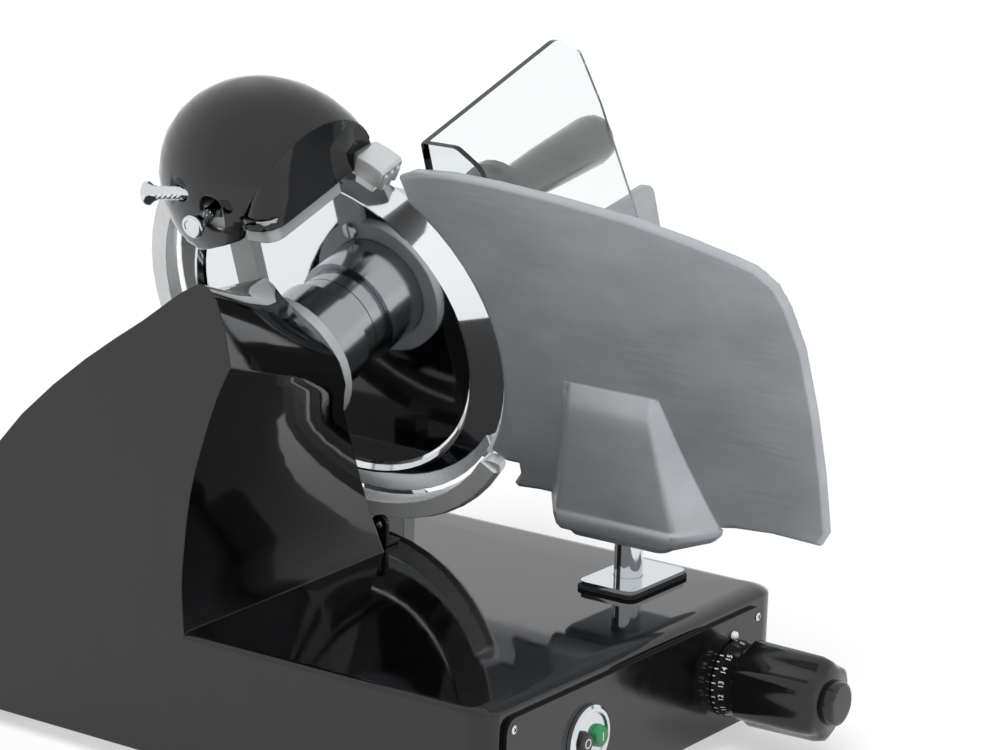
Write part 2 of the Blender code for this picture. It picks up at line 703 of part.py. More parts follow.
def spindle():
    face = -BLADE_WEB_BACK - GAP
    tail = MOTOR_RIGHT - MOTOR_LENGTH - PULLEY_SPACE - PULLEY_WIDTH - 3.0
    profile = [(-BLADE_WEB_FRONT - 0.4, BLADE_BORE - GAP), (face, BLADE_BORE - GAP),
               (face, SPINDLE_FLANGE_RADIUS), (HUB_FRONT, SPINDLE_FLANGE_RADIUS),
               (HUB_FRONT, SPINDLE_RADIUS), (tail, SPINDLE_RADIUS)]
    item = solid("blade_spindle", turned(profile, "X", count=28), LEANING, STEEL)
    for turn in BLADE_SCREW_TURNS:
        place = (BLADE_SCREW_CIRCLE * cos(radians(turn)), BLADE_SCREW_CIRCLE * sin(radians(turn)))
        cut(item, LEANING, rod(SCREW_SHANK + GAP, HUB_FRONT + 1.5, 5.0, "X", place, 10))
    right = MOTOR_RIGHT - MOTOR_LENGTH - PULLEY_SPACE
    pulley = tube(SPINDLE_RADIUS + GAP, PULLEY_RADIUS, right - PULLEY_WIDTH, right, "X", count=24)
    solid("blade_pulley", pulley, LEANING, CAST_ALUMINIUM, (right, 0.0, 0.0))


def blade():
    crest, edge = BLADE_CREST_RADIUS, BLADE_RADIUS
    profile = [(-BLADE_WEB_BACK, BLADE_BORE), (-BLADE_WEB_BACK, crest - 5.0),
               (-BLADE_WEB_BACK - 1.2, crest - 3.4), (-BLADE_CREST_HEIGHT + 0.4, crest - 1.4),
               (-BLADE_CREST_HEIGHT, crest), (-BLADE_EDGE, edge), (0.0, edge),
               (-BLADE_RIM_RELIEF, crest), (-BLADE_WEB_FRONT, crest - 12.0),
               (-BLADE_WEB_FRONT, BLADE_BORE)]
    item = solid("blade", turned(profile, "X", count=64, ring=True), LEANING, MIRROR_STEEL, sharp=20.0)
    for number, turn in enumerate(BLADE_SCREW_TURNS, 1):
        y = BLADE_SCREW_CIRCLE * cos(radians(turn))
        z = BLADE_SCREW_CIRCLE * sin(radians(turn))
        cut(item, LEANING, rod(SCREW_SHANK + GAP, -20.0, 5.0, "X", (y, z), 10))
        head = -BLADE_WEB_FRONT + GAP
        screw = [(head + SCREW_HEAD_HEIGHT, SCREW_HEAD - 1.2), (head + 0.8, SCREW_HEAD),
                 (head, SCREW_HEAD), (head, SCREW_SHANK), (HUB_FRONT + 2.0, SCREW_SHANK)]
        solid("blade_screw_%d" % number, turned(screw, "X", (y, z), 10), LEANING, STEEL)


def hub():
    inner = BEARING_RADIUS + GAP
    seat = BEARING_WIDTH + 2 * GAP
    back = HUB_BACK
    wall_left = TOWER_FACE - WALL - GAP
    profile = [(HUB_FRONT - GAP, inner), (HUB_FRONT - GAP, HUB_RADIUS), (wall_left, HUB_RADIUS),
               (wall_left, HUB_FLANGE), (wall_left - 5.0, HUB_FLANGE), (wall_left - 5.0, 30.0),
               (back, 30.0), (back, inner), (back + seat, inner), (back + seat, HUB_BORE),
               (HUB_FRONT - GAP - seat, HUB_BORE), (HUB_FRONT - GAP - seat, inner)]
    solid("bearing_hub", turned(profile, "X", count=36, ring=True), LEANING, STEEL)
    front = HUB_FRONT - 2 * GAP
    for name, right in (("bearing_front", front), ("bearing_rear", back + seat - GAP)):
        ring = tube(SPINDLE_RADIUS + 0.2, BEARING_RADIUS, right - BEARING_WIDTH, right, "X", count=20)
        solid(name, ring, LEANING, STEEL)


def ring_guard():
    loops = []
    count = 40
    stops = [RING_START + (RING_END - RING_START) * step / count for step in range(count + 1)]
    for edge in (RING_END - RING_SEAT, STONE_TURN - STONE_WINDOW, STONE_TURN + STONE_WINDOW):
        stops += [edge - 0.2, edge + 0.2]
    for degrees in sorted(stops):
        turn = radians(degrees)
        inner, outer, front, back = RING_INNER, RING_OUTER, RING_FRONT, RING_BACK
        if degrees > RING_END - RING_SEAT:
            outer, back = RING_OUTER + 4.0, RING_BACK - 5.0
        if abs(degrees - STONE_TURN) < STONE_WINDOW:
            back = STONE_RING_BACK
        section = [(inner, back), (inner, front), (outer - 4.0, front), (outer - 1.2, front - 1.2),
                   (outer, front - (front - back) * 0.6), (outer - 2.5, back)]
        loops.append([(s, r * cos(turn), r * sin(turn)) for r, s in section])
    item = solid("blade_guard_ring", skin(loops), LEANING, CAST_ALUMINIUM, sharp=50.0)
    tip = RING_START + 0.5
    wedge = []
    for degrees, inner, outer in ((tip, RING_INNER + 0.5, RING_OUTER - 0.5),
                                  (RING_START - 1.5, RING_INNER + 3.0, RING_OUTER - 1.0),
                                  (RING_START - 2.8, RING_INNER + 8.0, RING_OUTER - 3.0)):
        turn = radians(degrees)
        section = [(inner, RING_BACK + 1.0), (inner, RING_FRONT - 1.0), (outer, RING_FRONT - 2.0),
                   (outer, RING_BACK + 2.0)]
        wedge.append([(s, r * cos(turn), r * sin(turn)) for r, s in section])
    leg = block((RING_LEG_X - 7.0, RING_LEG_Y - 9.0, BASE_TOP + GAP),
                (RING_LEG_X + 7.0, RING_LEG_Y + 9.0, BASE_TOP + 9.0))
    join(item, LEANING, skin(wedge))
    return join(item, UPRIGHT, leg)


GAUGE_RIM = [(-77, 117), (-90, 122.8), (-117.5, 124.9), (-150.6, 123.7), (-193.5, 120.2),
             (-241.4, 114.6), (-275.7, 108), (-305, 101), (-322.8, 96), (-335.5, 86),
             (-341.7, 73), (-347.9, 46), (-350, 3.5), (-349.6, -38.5), (-347, -80),
             (-340.6, -89.8), (-308, -88.5), (-282.5, -90.5), (-264.8, -94), (-139.9, -93.7),
             (-123.5, -95), (-120.6, -92), (-126.7, -84), (-126.9, -77), (-118, -77),
             (-107, -70.6)]


def gauge_outline():
    """Rim of the gauge plate: a drawn outer line closed by an arc round the blade."""
    low = atan2(GAUGE_RIM[-1][1], GAUGE_RIM[-1][0]) + 2 * pi
    high = radians(GAUGE_ARC_TOP)
    outline = list(GAUGE_RIM)
    for step in range(1, 16):
        turn = low + (high - low) * step / 16
        outline.append((GAUGE_ARC * cos(turn), GAUGE_ARC * sin(turn)))
    return outline


def gauge_section():
    """Section of the plate across its ridges, in the plane of X and Z."""
    face = RIDGE_TOP - RIDGE_HEIGHT
    line = [(GAUGE_BACK - 3.0, GAUGE_BOTTOM - 20.0), (face, GAUGE_BOTTOM - 20.0)]
    height = GAUGE_BOTTOM + 8.0
    while height + RIDGE_WIDTH < GAUGE_TOP - 4.0:
        line += [(face, height), (RIDGE_TOP, height + 0.7), (RIDGE_TOP, height + RIDGE_WIDTH - 0.7),
                 (face, height + RIDGE_WIDTH)]
        height += RIDGE_PITCH
    return line + [(face, GAUGE_TOP + 20.0), (GAUGE_BACK - 3.0, GAUGE_TOP + 20.0)]


def gauge_boss():
    """Tapered boss on the back of the plate, thicker towards its foot."""
    rows = [(-8.0, -175.0, -241.0, -180.0, -237.0, GAUGE_BACK - 0.8),
            (-30.0, -170.0, -248.0, -176.0, -238.0, GAUGE_BACK - 4.5),
            (-62.0, -161.0, -259.0, -169.0, -238.0, GAUGE_BACK - 10.0),
            (-92.0, -151.0, -271.0, -163.0, -237.0, GAUGE_BACK - 15.0),
            (-103.0, -158.0, -262.0, -164.0, -236.0, GAUGE_BACK - 17.0)]
    inner = GAUGE_BACK + 2.0
    loops = []
    for z, y_near, y_far, face_near, face_far, depth in rows:
        loops.append([(inner, y_near, z), (inner, y_far, z),
                      (depth + 2.5, y_far + 0.75 * (face_far - y_far), z),
                      (depth, face_far + 4.0, z), (depth, face_near - 4.0, z),
                      (depth + 2.5, y_near + 0.75 * (face_near - y_near), z)])
    return skin(loops)


def gauge_skirt():
    """Level foot of the boss, which holds the post."""
    plan = rounded_box((SKIRT_LEFT, POST_Y - SKIRT_HALF), (SKIRT_RIGHT, POST_Y + SKIRT_HALF - 6.0), 9.0, 4)
    small = inset(plan, 3.0)
    rows = ((small, SKIRT_BOTTOM), (plan, SKIRT_BOTTOM + 3.0), (plan, SKIRT_TOP - 4.0),
            (inset(plan, 1.5), SKIRT_TOP - 1.2), (inset(plan, 4.0), SKIRT_TOP))
    return skin([[(x, y, z) for x, y in line] for line, z in rows])


def gauge():
    rim = gauge_outline()
    rows = ((inset(rim, 2.6), GAUGE_BACK), (inset(rim, 0.8), GAUGE_BACK + 0.9), (rim, GAUGE_BACK + 2.8),
            (rim, RIDGE_TOP - RIDGE_HEIGHT - 0.6), (inset(rim, 1.5), RIDGE_TOP + 0.5))
    plate = skin([[(s, y, z) for y, z in line] for line, s in rows])
    item = solid("gauge_plate", plate, LEANING, BRUSHED_ALUMINIUM)
    comb = prism(gauge_section(), GAUGE_RIGHT - 20.0, -60.0, "Y")
    combine(item, "INTERSECT", [comb], LEANING)
    join(item, LEANING, gauge_boss())
    join(item, UPRIGHT, gauge_skirt())
    bore_top = SKIRT_BOTTOM + POST_SEAT
    cut(item, UPRIGHT, rod(POST_RADIUS + GAP, SKIRT_BOTTOM - 5.0, bore_top + GAP, "Z",
                           (POST_X, POST_Y), 28))

    block_top = BASE_TOP - WALL - 3.0
    foot = SLIDE_ROD_Z + SLIDE_ROD_RADIUS + 6.0
    post = rod(POST_RADIUS, foot + GAP, bore_top, "Z", (POST_X, POST_Y), 32)
    solid("gauge_post", post, UPRIGHT, CHROME)
    for name, low, thick, grow, surface in (
            ("post_gasket", BASE_TOP + GAP, GASKET_THICKNESS, 1.2, RUBBER),
            ("post_cover_plate", BASE_TOP + 2 * GAP + GASKET_THICKNESS, COVER_THICKNESS, 0.0, CHROME)):
        plan = rounded_box((COVER_X - COVER_LENGTH / 2 - grow, COVER_Y - COVER_WIDTH / 2 - grow),
                           (COVER_X + COVER_LENGTH / 2 + grow, COVER_Y + COVER_WIDTH / 2 + grow), 6.0, 3)
        item = solid(name, prism(plan, low, low + thick, "Z"), UPRIGHT, surface)
        cut(item, UPRIGHT, rod(POST_RADIUS + GAP, low - 3.0, low + thick + 3.0, "Z",
                               (POST_X, POST_Y), 28))

    half = SLIDE_BLOCK_HALF
    body = block((POST_X - half, POST_Y - half, DIAL_Z - 6.0), (POST_X + half, POST_Y + half, block_top))
    item = solid("gauge_slide_block", body, UPRIGHT, STEEL)
    follower_x = DIAL_X - CAM_START - FIT - FOLLOWER_RADIUS
    follower = rod(FOLLOWER_RADIUS, CAM_Y - CAM_THICKNESS / 2, POST_Y - half + 4.0, "Y",
                   (follower_x, DIAL_Z), 16)
    join(item, UPRIGHT, follower)
    cut(item, UPRIGHT,
        rod(POST_RADIUS + GAP, foot, block_top + 5.0, "Z", (POST_X, POST_Y), 28),
        rod(SLIDE_ROD_RADIUS + FIT, POST_X - half - 5.0, POST_X + half + 5.0, "X",
            (POST_Y, SLIDE_ROD_Z), 24))
    guide_rod = rod(SLIDE_ROD_RADIUS, SLIDE_ROD_LEFT + GAP, SLIDE_ROD_RIGHT - GAP, "X",
                    (POST_Y, SLIDE_ROD_Z), 20)
    solid("gauge_guide_rod", guide_rod, UPRIGHT, STEEL)


def rail():
    front, back = HOUSING_FRONT + WALL + 14.0, BASE_BACK - WALL - 16.0
    solid("carriage_rail", rod(RAIL_RADIUS, front, back, "Y", (RAIL_X, RAIL_Z), 24), UPRIGHT, CHROME)
    low = BASE_BOTTOM + PLATE_THICKNESS + GAP
    for name, near, far in (("rail_bracket_front", front, front + RAIL_BRACKET),
                            ("rail_bracket_rear", back - RAIL_BRACKET, back)):
        half = RAIL_RADIUS + 5.0
        item = solid(name, block((RAIL_X - half, near, low), (RAIL_X + half, far, RAIL_Z + half)),
                     UPRIGHT, CAST_ALUMINIUM)
        cut(item, UPRIGHT, rod(RAIL_RADIUS + GAP, near - 3.0, far + 3.0, "Y", (RAIL_X, RAIL_Z), 24))


def carriage():
    half = RAIL_RADIUS + 5.0
    runner = block((RAIL_X - half, ARM_Y - RUNNER_HALF, RAIL_Z - half),
                   (RAIL_X + half, ARM_Y + RUNNER_HALF, RAIL_Z + half))
    item = solid("carriage_slide_block", runner, UPRIGHT, STEEL)
    cut(item, UPRIGHT, rod(RAIL_RADIUS + FIT, ARM_Y - RUNNER_HALF - 3.0, ARM_Y + RUNNER_HALF + 3.0,
                           "Y", (RAIL_X, RAIL_Z), 24))

    start = RAIL_X + half + GAP
    thick = ARM_SLOT / 2 - 2.0
    outer = ARM_X + ARM_THICKNESS
    low, high = RAIL_Z - thick, RAIL_Z + thick
    foot = block((start, ARM_Y - ARM_WIDTH / 2, low), (ARM_X + 1.0, ARM_Y + ARM_WIDTH / 2, high))
    front, back = ARM_Y - ARM_WIDTH / 2, ARM_Y + ARM_WIDTH / 2
    top = BASE_TOP + BLADE_RISE
    sweep = filleted([(front, low), (back + 20.0, low), (ARM_TOP_FAR, KNOB_HEIGHT - 26.0), (ARM_TOP_FAR, top),
                      (ARM_TOP_NEAR, top), (ARM_TOP_NEAR, BASE_TOP), (back - 12.0, KNOB_HEIGHT - 8.0),
                      (front, high + 8.0)], [6, 30, 30, 0, 0, 24, 30, 14], 5)
    item = solid("carriage_arm", foot, UPRIGHT, CAST_ALUMINIUM)
    join(item, UPRIGHT, prism(sweep, ARM_X, outer, "X"))
    cut(item, UPRIGHT, rod(KNOB_STEM + GAP, outer - 9.0, outer + 5.0, "X", (KNOB_Y, KNOB_HEIGHT), 20))
    cut(item, LEANING, block((-50.0, -150.0, TRAY_FLOOR - GAP), (300.0, 150.0, 150.0)))
    knob = []
    for along, radius, share in ((outer + GAP, 12.0, 0.0), (outer + 6.0, 12.0, 0.0),
                                 (outer + 8.0, 19.0, 1.0), (outer + 20.0, 18.0, 1.0),
                                 (outer + 23.0, 13.0, 0.6)):
        loop = []
        for index in range(30):
            turn = 2 * pi * index / 30
            reach = radius - share * 2.5 * (1 - cos(5 * turn)) / 2
            loop.append((along, KNOB_Y + reach * cos(turn), KNOB_HEIGHT + reach * sin(turn)))
        knob.append(loop)
    item = solid("tray_lock_knob", skin(knob), UPRIGHT, BLACK_PLASTIC, (outer, KNOB_Y, KNOB_HEIGHT))
    join(item, UPRIGHT, rod(KNOB_STEM, outer - 8.0, outer + 2.0, "X", (KNOB_Y, KNOB_HEIGHT), 20))
    tray()
    hand_guard()
    pusher()


def tray():
    top = TRAY_FLOOR + TRAY_WALL
    line = [(TRAY_FRONT + 1.0, TRAY_FLOOR), (TRAY_BACK, TRAY_FLOOR), (TRAY_BACK, top)]
    y = TRAY_BACK - TRAY_RIB_PITCH
    while y > TRAY_FRONT + 2 * TRAY_WALL:
        line += [(y + 2.0, top), (y + 1.0, top + TRAY_RIB), (y - 1.0, top + TRAY_RIB), (y - 2.0, top)]
        y -= TRAY_RIB_PITCH
    line.append((TRAY_FRONT + 1.0, top))
    item = solid("carriage_tray", prism(line, TRAY_NEAR, TRAY_FAR - 1.0, "X"), LEANING,
                 BRUSHED_ALUMINIUM)
    wall = filleted([(TRAY_NEAR, TRAY_FLOOR), (TRAY_FAR, TRAY_FLOOR), (TRAY_FAR - 1.5, -8.0),
                     (TRAY_NEAR, 24.0)], [4, 4, 10, 4], 4)
    lip = block((TRAY_FAR - TRAY_WALL, TRAY_FRONT + 1.0, TRAY_FLOOR),
                (TRAY_FAR, TRAY_BACK, TRAY_FLOOR + TRAY_LIP))
    join(item, LEANING, prism(wall, TRAY_FRONT, TRAY_FRONT + TRAY_WALL, "Y"), lip)
    for s in (TRAY_NEAR + 3.0, TRAY_FAR - TRAY_WALL - 9.0):
        lug = filleted([(ROD_Y - 9.0, top - 1.0), (ROD_Y + 9.0, top - 1.0), (ROD_Y + 9.0, ROD_Z + 9.0),
                        (ROD_Y - 9.0, ROD_Z + 9.0)], [0, 0, 8, 8], 4)
        join(item, LEANING, prism(lug, s, s + 9.0, "X"))
    holes = [rod(ROD_RADIUS + GAP, TRAY_NEAR, TRAY_FAR - TRAY_WALL + 0.5, "X", (ROD_Y, ROD_Z), 20)]
    for s in GUARD_SCREWS:
        holes.append(rod(SCREW_SHANK + GAP, TRAY_FRONT - 3.0, TRAY_FRONT + TRAY_WALL + 3.0, "Y",
                         (s, GUARD_SCREW_Z), 10))
    cut(item, LEANING, *holes)
    guide_rod = rod(ROD_RADIUS, TRAY_NEAR + 1.0, TRAY_FAR - TRAY_WALL - GAP, "X", (ROD_Y, ROD_Z), 24)
    solid("pusher_rod", guide_rod, LEANING, CHROME)


def hand_guard():
    outer = TRAY_FRONT - GAP - GUARD_THICKNESS
    panel = filleted([(GUARD_NEAR, -60.0), (207.0, -60.0), (203.0, -18.0), (184.0, 74.0),
                      (171.0, 118.0), (150.0, GUARD_TOP), (GUARD_NEAR, GUARD_TOP)],
                     [2, 6, 0, 0, 16, 16, 2], 4)
    item = solid("hand_guard", prism(panel, outer, outer + GUARD_THICKNESS, "Y"), LEANING,
                 CLEAR_ACRYLIC)
    flange = filleted([(outer + GUARD_THICKNESS - 1.0, -60.0), (outer + GUARD_THICKNESS - 1.0, GUARD_TOP),
                       (-116.0, GUARD_TOP), (-131.0, 124.0), (-137.0, 95.0), (-142.0, 20.0),
                       (-142.0, -60.0)], [0, 0, 8, 12, 30, 30, 6], 4)
    join(item, LEANING, prism(flange, GUARD_NEAR, GUARD_NEAR + GUARD_THICKNESS, "X"))
    for number, s in enumerate(GUARD_SCREWS, 1):
        place = (s, GUARD_SCREW_Z)
        cut(item, LEANING, rod(SCREW_SHANK + GAP, outer - 3.0, outer + 9.0, "Y", place, 10))
        head = outer - GAP
        screw = [(head - 3.5, SCREW_HEAD - 1.5), (head - 2.2, SCREW_HEAD), (head, SCREW_HEAD),
                 (head, SCREW_SHANK), (TRAY_FRONT + TRAY_WALL, SCREW_SHANK)]
        solid("guard_screw_%d" % number, turned(screw, "Y", place, 10), LEANING, CHROME)


def pusher():
    start = PUSHER_S + PLATE_DEPTH - SPOOL_FLANGE
    end = start + SLIDER_LENGTH
    spool = [(start, ROD_RADIUS + FIT), (start, 13.0), (start + SPOOL_FLANGE, 13.0), (start + SPOOL_FLANGE, SPOOL_RADIUS),
             (end - SPOOL_FLANGE, SPOOL_RADIUS), (end - SPOOL_FLANGE, 13.0), (end, 13.0), (end, ROD_RADIUS + FIT)]
    origin = (start, ROD_Y, ROD_Z)
    solid("pusher_slider", turned(spool, "X", (ROD_Y, ROD_Z), 20, ring=True), LEANING, STEEL, origin)

    face = PUSHER_S + PLATE_DEPTH + GAP
    eye = tube(SPOOL_RADIUS + GAP, 13.0, start + SPOOL_FLANGE + GAP, end - SPOOL_FLANGE - GAP, "X", (ROD_Y, ROD_Z), 20)
    item = solid("pusher_arm", eye, LEANING, CAST_ALUMINIUM, origin)
    bar = filleted([(ROD_Y + 4.0, ROD_Z + 11.0), (ROD_Y - 13.0, ROD_Z + 1.0), (HANDLE_Y - 8.0, HANDLE_Z - 16.0),
                    (HANDLE_Y - 8.0, HANDLE_Z + 4.0), (HANDLE_Y + 12.0, HANDLE_Z + 4.0)],
                   [3, 6, 8, 8, 8], 3)
    join(item, LEANING, prism(bar, face, face + ARM_DEPTH, "X"))
    cut(item, LEANING, rod(SPOOL_RADIUS + GAP, start, end, "X", (ROD_Y, ROD_Z), 20))

    bottom, top = TRAY_FLOOR + TRAY_WALL + 3.5, PUSHER_TOP
    teeth = [(PUSHER_S + PLATE_DEPTH, bottom), (PUSHER_S + PLATE_DEPTH, top), (PUSHER_S, top)]
    height = top - TOOTH_PITCH / 2
    while height - TOOTH_PITCH / 2 > bottom:
        teeth += [(PUSHER_S - TOOTH_DEPTH, height), (PUSHER_S, height - TOOTH_PITCH / 2)]
        height -= TOOTH_PITCH
    teeth.append((PUSHER_S, bottom))
    plate = prism(teeth, PUSHER_NEAR_Y, PUSHER_FAR_Y, "Y")
    item = solid("pusher_plate", plate, LEANING, CAST_ALUMINIUM, origin)
    cut(item, LEANING, rod(SPOOL_RADIUS + 8.0, start - 9.0, face + 9.0, "X", (ROD_Y, ROD_Z), 24))

    seat = face + ARM_DEPTH + GAP
    collar = [(seat, 21.0), (seat + 3.0, 25.0), (seat + 9.0, 25.0), (seat + 13.0, 19.0),
              (seat + 15.0, HANDLE_START + 1.5)]
    solid("handle_collar", turned(collar, "X", (HANDLE_Y, HANDLE_Z), 24), LEANING, BLACK_PLASTIC, origin)
    begin = Vector((seat + 15.0 + 2 * GAP, HANDLE_Y, HANDLE_Z))
    droop = radians(HANDLE_DROOP)
    along = Vector((cos(droop), 0.0, -sin(droop)))
    up = Vector((sin(droop), 0.0, cos(droop)))
    length = HANDLE_LENGTH
    loops = []
    for share, radius in ((0.0, HANDLE_START), (0.1, HANDLE_START), (0.35, HANDLE_START + 2.0),
                          (0.65, HANDLE_END - 0.8), (0.85, HANDLE_END), (0.92, HANDLE_END - 1.2),
                          (0.965, HANDLE_END - 4.5), (0.99, HANDLE_END - 9.0), (1.0, HANDLE_END - 13.0)):
        centre = begin + along * length * share
        loop = []
        for a, b in circle(radius, 20):
            place = centre + Vector((0.0, a, 0.0)) + up * b
            loop.append((max(place.x, begin.x), place.y, place.z))
        loops.append(loop)
    solid("pusher_handle", skin(loops), LEANING, BLACK_PLASTIC, origin)


def cavity_reach(y, z):
    """How far the cover's inside reaches left of its centre at this y and z."""
    _, side, tall = (semi - COVER_WALL for semi in COVER_SEMI)
    share = 1.0 - ((y - COVER_CENTRE[1]) / side) ** 2 - ((z - COVER_CENTRE[2]) / tall) ** 2
    return (COVER_SEMI[0] - COVER_WALL) * sqrt(max(share, 0.0))


def sharpener_plan():
    """Outline of the sharpener base: square in front, round inside the cover."""
    front = filleted([(PLATE_RIGHT, PLATE_FRONT), (PLATE_LEFT, PLATE_FRONT), (PLATE_LEFT, PLATE_STEP)],
                     [2, 12, 0], 4)
    line = list(front)
    count = 14
    for step in range(count + 1):
        y = PLATE_STEP + 3.0 + (PLATE_BACK - PLATE_STEP - 3.0) * sin(pi / 2 * step / count)
        line.append((COVER_CENTRE[0] - cavity_reach(y, SHARPENER_PLATE_TOP) + 1.0, y))
    line.append((PLATE_RIGHT, PLATE_BACK - 12.0))
    return line


def ellipsoid(semi, rows, count):
    loops = []
    for row in range(1, rows):
        turn = pi * row / rows
        loop = []
        for a, b in circle(sin(turn), count):
            loop.append((COVER_CENTRE[0] + semi[0] * a, COVER_CENTRE[1] + semi[1] * b,
                         COVER_CENTRE[2] - semi[2] * cos(turn)))
        loops.append(loop)
    return skin(loops)


def facet_block(offset):
    """Block in front of the flat facet, moved back by an offset."""
    normal = Vector(FACET_NORMAL).normalized()
    side = normal.cross(Vector((0, 0, 1))).normalized()
    up = side.cross(normal)
    base = normal * (FACET_DISTANCE / Vector(FACET_NORMAL).length + offset)
    centre = Vector(COVER_CENTRE)
    base += centre - normal * normal.dot(centre)
    square = [(-150, -150), (150, -150), (150, 150), (-150, 150)]
    return skin([[base - normal * depth + side * a + up * b for a, b in square] for depth in (0, 200)])


def sharpener():
    plan = sharpener_plan()
    item = solid("sharpener_base", prism(plan, SHARPENER_PLATE_BOTTOM, SHARPENER_PLATE_TOP, "Z"),
                 LEANING, CAST_ALUMINIUM)
    groove = block((PLATE_LEFT - 10.0, GRIND_Y - GRIND_SHAFT - FIT, GRIND_Z - GRIND_SHAFT - FIT),
                   (STONE_FACE - 18.0, GRIND_Y + GRIND_SHAFT + FIT, SHARPENER_PLATE_TOP + 5.0))
    window = block((STONE_FACE - 22.0, GRIND_Y - STONE_RADIUS - 3.0, SHARPENER_PLATE_BOTTOM - 5.0),
                   (PLATE_RIGHT + 5.0, DEBUR_Y + 13.0, SHARPENER_PLATE_TOP + 5.0))
    cut(item, LEANING, groove, window)

    inner_semi = [semi - COVER_WALL for semi in COVER_SEMI]
    item = solid("sharpener_cover", ellipsoid(COVER_SEMI, 16, 32), LEANING, BLACK_ENAMEL, sharp=50.0)
    inside = guide(ellipsoid(inner_semi, 8, 20), LEANING)
    cut(inside, LEANING, facet_block(COVER_WALL),
        block((COVER_END - COVER_WALL + 0.4, -120.0, 0.0), (60.0, 120.0, 250.0)))
    slot_edge = RING_BACK - 1.5
    cut(item, LEANING, facet_block(0.0),
        block((COVER_END, -120.0, 0.0), (60.0, 120.0, 250.0)),
        block((-150.0, -120.0, 0.0), (60.0, 120.0, COVER_BOTTOM)), inside,
        prism(inset(plan, -GAP), COVER_BOTTOM - 10.0, SHARPENER_PLATE_TOP + GAP, "Z"),
        block((PLATE_RIGHT - 5.0, -120.0, COVER_BOTTOM - 10.0), (slot_edge, 120.0, SHARPENER_PLATE_TOP + GAP)),
        block((slot_edge - 1.0, -120.0, COVER_BOTTOM - 10.0), (60.0, 120.0, COVER_LIP_BOTTOM)),
        tube(COVER_BOTTOM - 5.0, RING_OUTER + 1.5, slot_edge, 0.4, "X", count=56),
        prism(filleted([(GRIND_Y - 9.0, 115.0), (GRIND_Y + 9.0, 115.0), (GRIND_Y + 9.0, 138.0),
                        (GRIND_Y - 9.0, 138.0)], [8] * 4, 4), COVER_CENTRE[0] - 60.0,
              COVER_CENTRE[0] - 35.0, "X"),
        deburr_rod(DEBUR_SHAFT + 1.0, -23.0, 18.0))

    shaft = [(STONE_FACE + 0.5, STONE_PIN), (STONE_FACE - STONE_THICKNESS - GAP, STONE_PIN),
             (STONE_FACE - STONE_THICKNESS - GAP, GRIND_SHAFT), (GRIND_CAP + 10.0, GRIND_SHAFT),
             (GRIND_CAP + 6.5, 5.6), (GRIND_CAP + 3.5, 8.0), (GRIND_CAP + 1.5, 8.5),
             (GRIND_CAP + 0.5, 8.0), (GRIND_CAP, 6.5)]
    solid("grind_button", turned(shaft, "X", (GRIND_Y, GRIND_Z), 20), LEANING, CHROME,
          (GRIND_CAP, GRIND_Y, GRIND_Z))
    stone = tube(STONE_PIN + GAP, STONE_RADIUS, STONE_FACE - STONE_THICKNESS, STONE_FACE, "X",
                 (GRIND_Y, GRIND_Z), 20)
    solid("grinding_stone", stone, LEANING, STONE, (STONE_FACE, GRIND_Y, GRIND_Z))

    item = solid("deburr_button", deburr_rod(DEBUR_SHAFT, -19.5, 22.0, True), LEANING, CHROME,
                 (DEBUR_S, DEBUR_ROD_Y, DEBUR_Z))
    arm = block((DEBUR_ARM_LEFT, DEBUR_ARM_Y - 3.0, SHARPENER_PLATE_TOP + 0.6),
                (STONE_FACE - STONE_THICKNESS - 3.0, DEBUR_ARM_Y + 3.0, DEBUR_Z + 3.0))
    lug = block((STONE_FACE - STONE_THICKNESS - 10.0, DEBUR_ARM_Y - 3.0, DEBUR_STONE_Z - 4.0),
                (STONE_FACE - STONE_THICKNESS - 3.0, DEBUR_Y + 4.0, DEBUR_Z + 3.0))
    pin = rod(STONE_PIN, STONE_FACE - STONE_THICKNESS - 4.0, STONE_FACE - 1.0, "X",
              (DEBUR_Y, DEBUR_STONE_Z), 16)
    join(item, LEANING, arm, lug, pin)
    stone = tube(STONE_PIN + GAP, DEBUR_RADIUS, STONE_FACE - STONE_THICKNESS - 2.5, STONE_FACE - 2.5,
                 "X", (DEBUR_Y, DEBUR_STONE_Z), 16)
    solid("deburring_stone", stone, LEANING, STONE, (STONE_FACE, DEBUR_Y, DEBUR_STONE_Z))


def deburr_rod(radius, start, end, flared=False):
    """Rod along the rear button's own slanted line, with its flared cap if wanted."""
    along = Vector(DEBUR_LINE).normalized()
    side = along.cross(Vector((0, 0, 1))).normalized()
    up = side.cross(along)
    base = Vector((DEBUR_S, DEBUR_ROD_Y, DEBUR_Z))
    rows = [(start, radius), (end, radius)]
    if flared:
        rows = [(start, radius), (end - 10.0, radius), (end - 6.5, 5.6), (end - 3.5, 8.0),
                (end - 1.5, 8.5), (end - 0.5, 8.0), (end, 6.5)]
    loops = []
    for distance, reach in rows:
        loops.append([base + along * distance + side * a + up * b for a, b in circle(reach, 16)])
    return skin(loops)


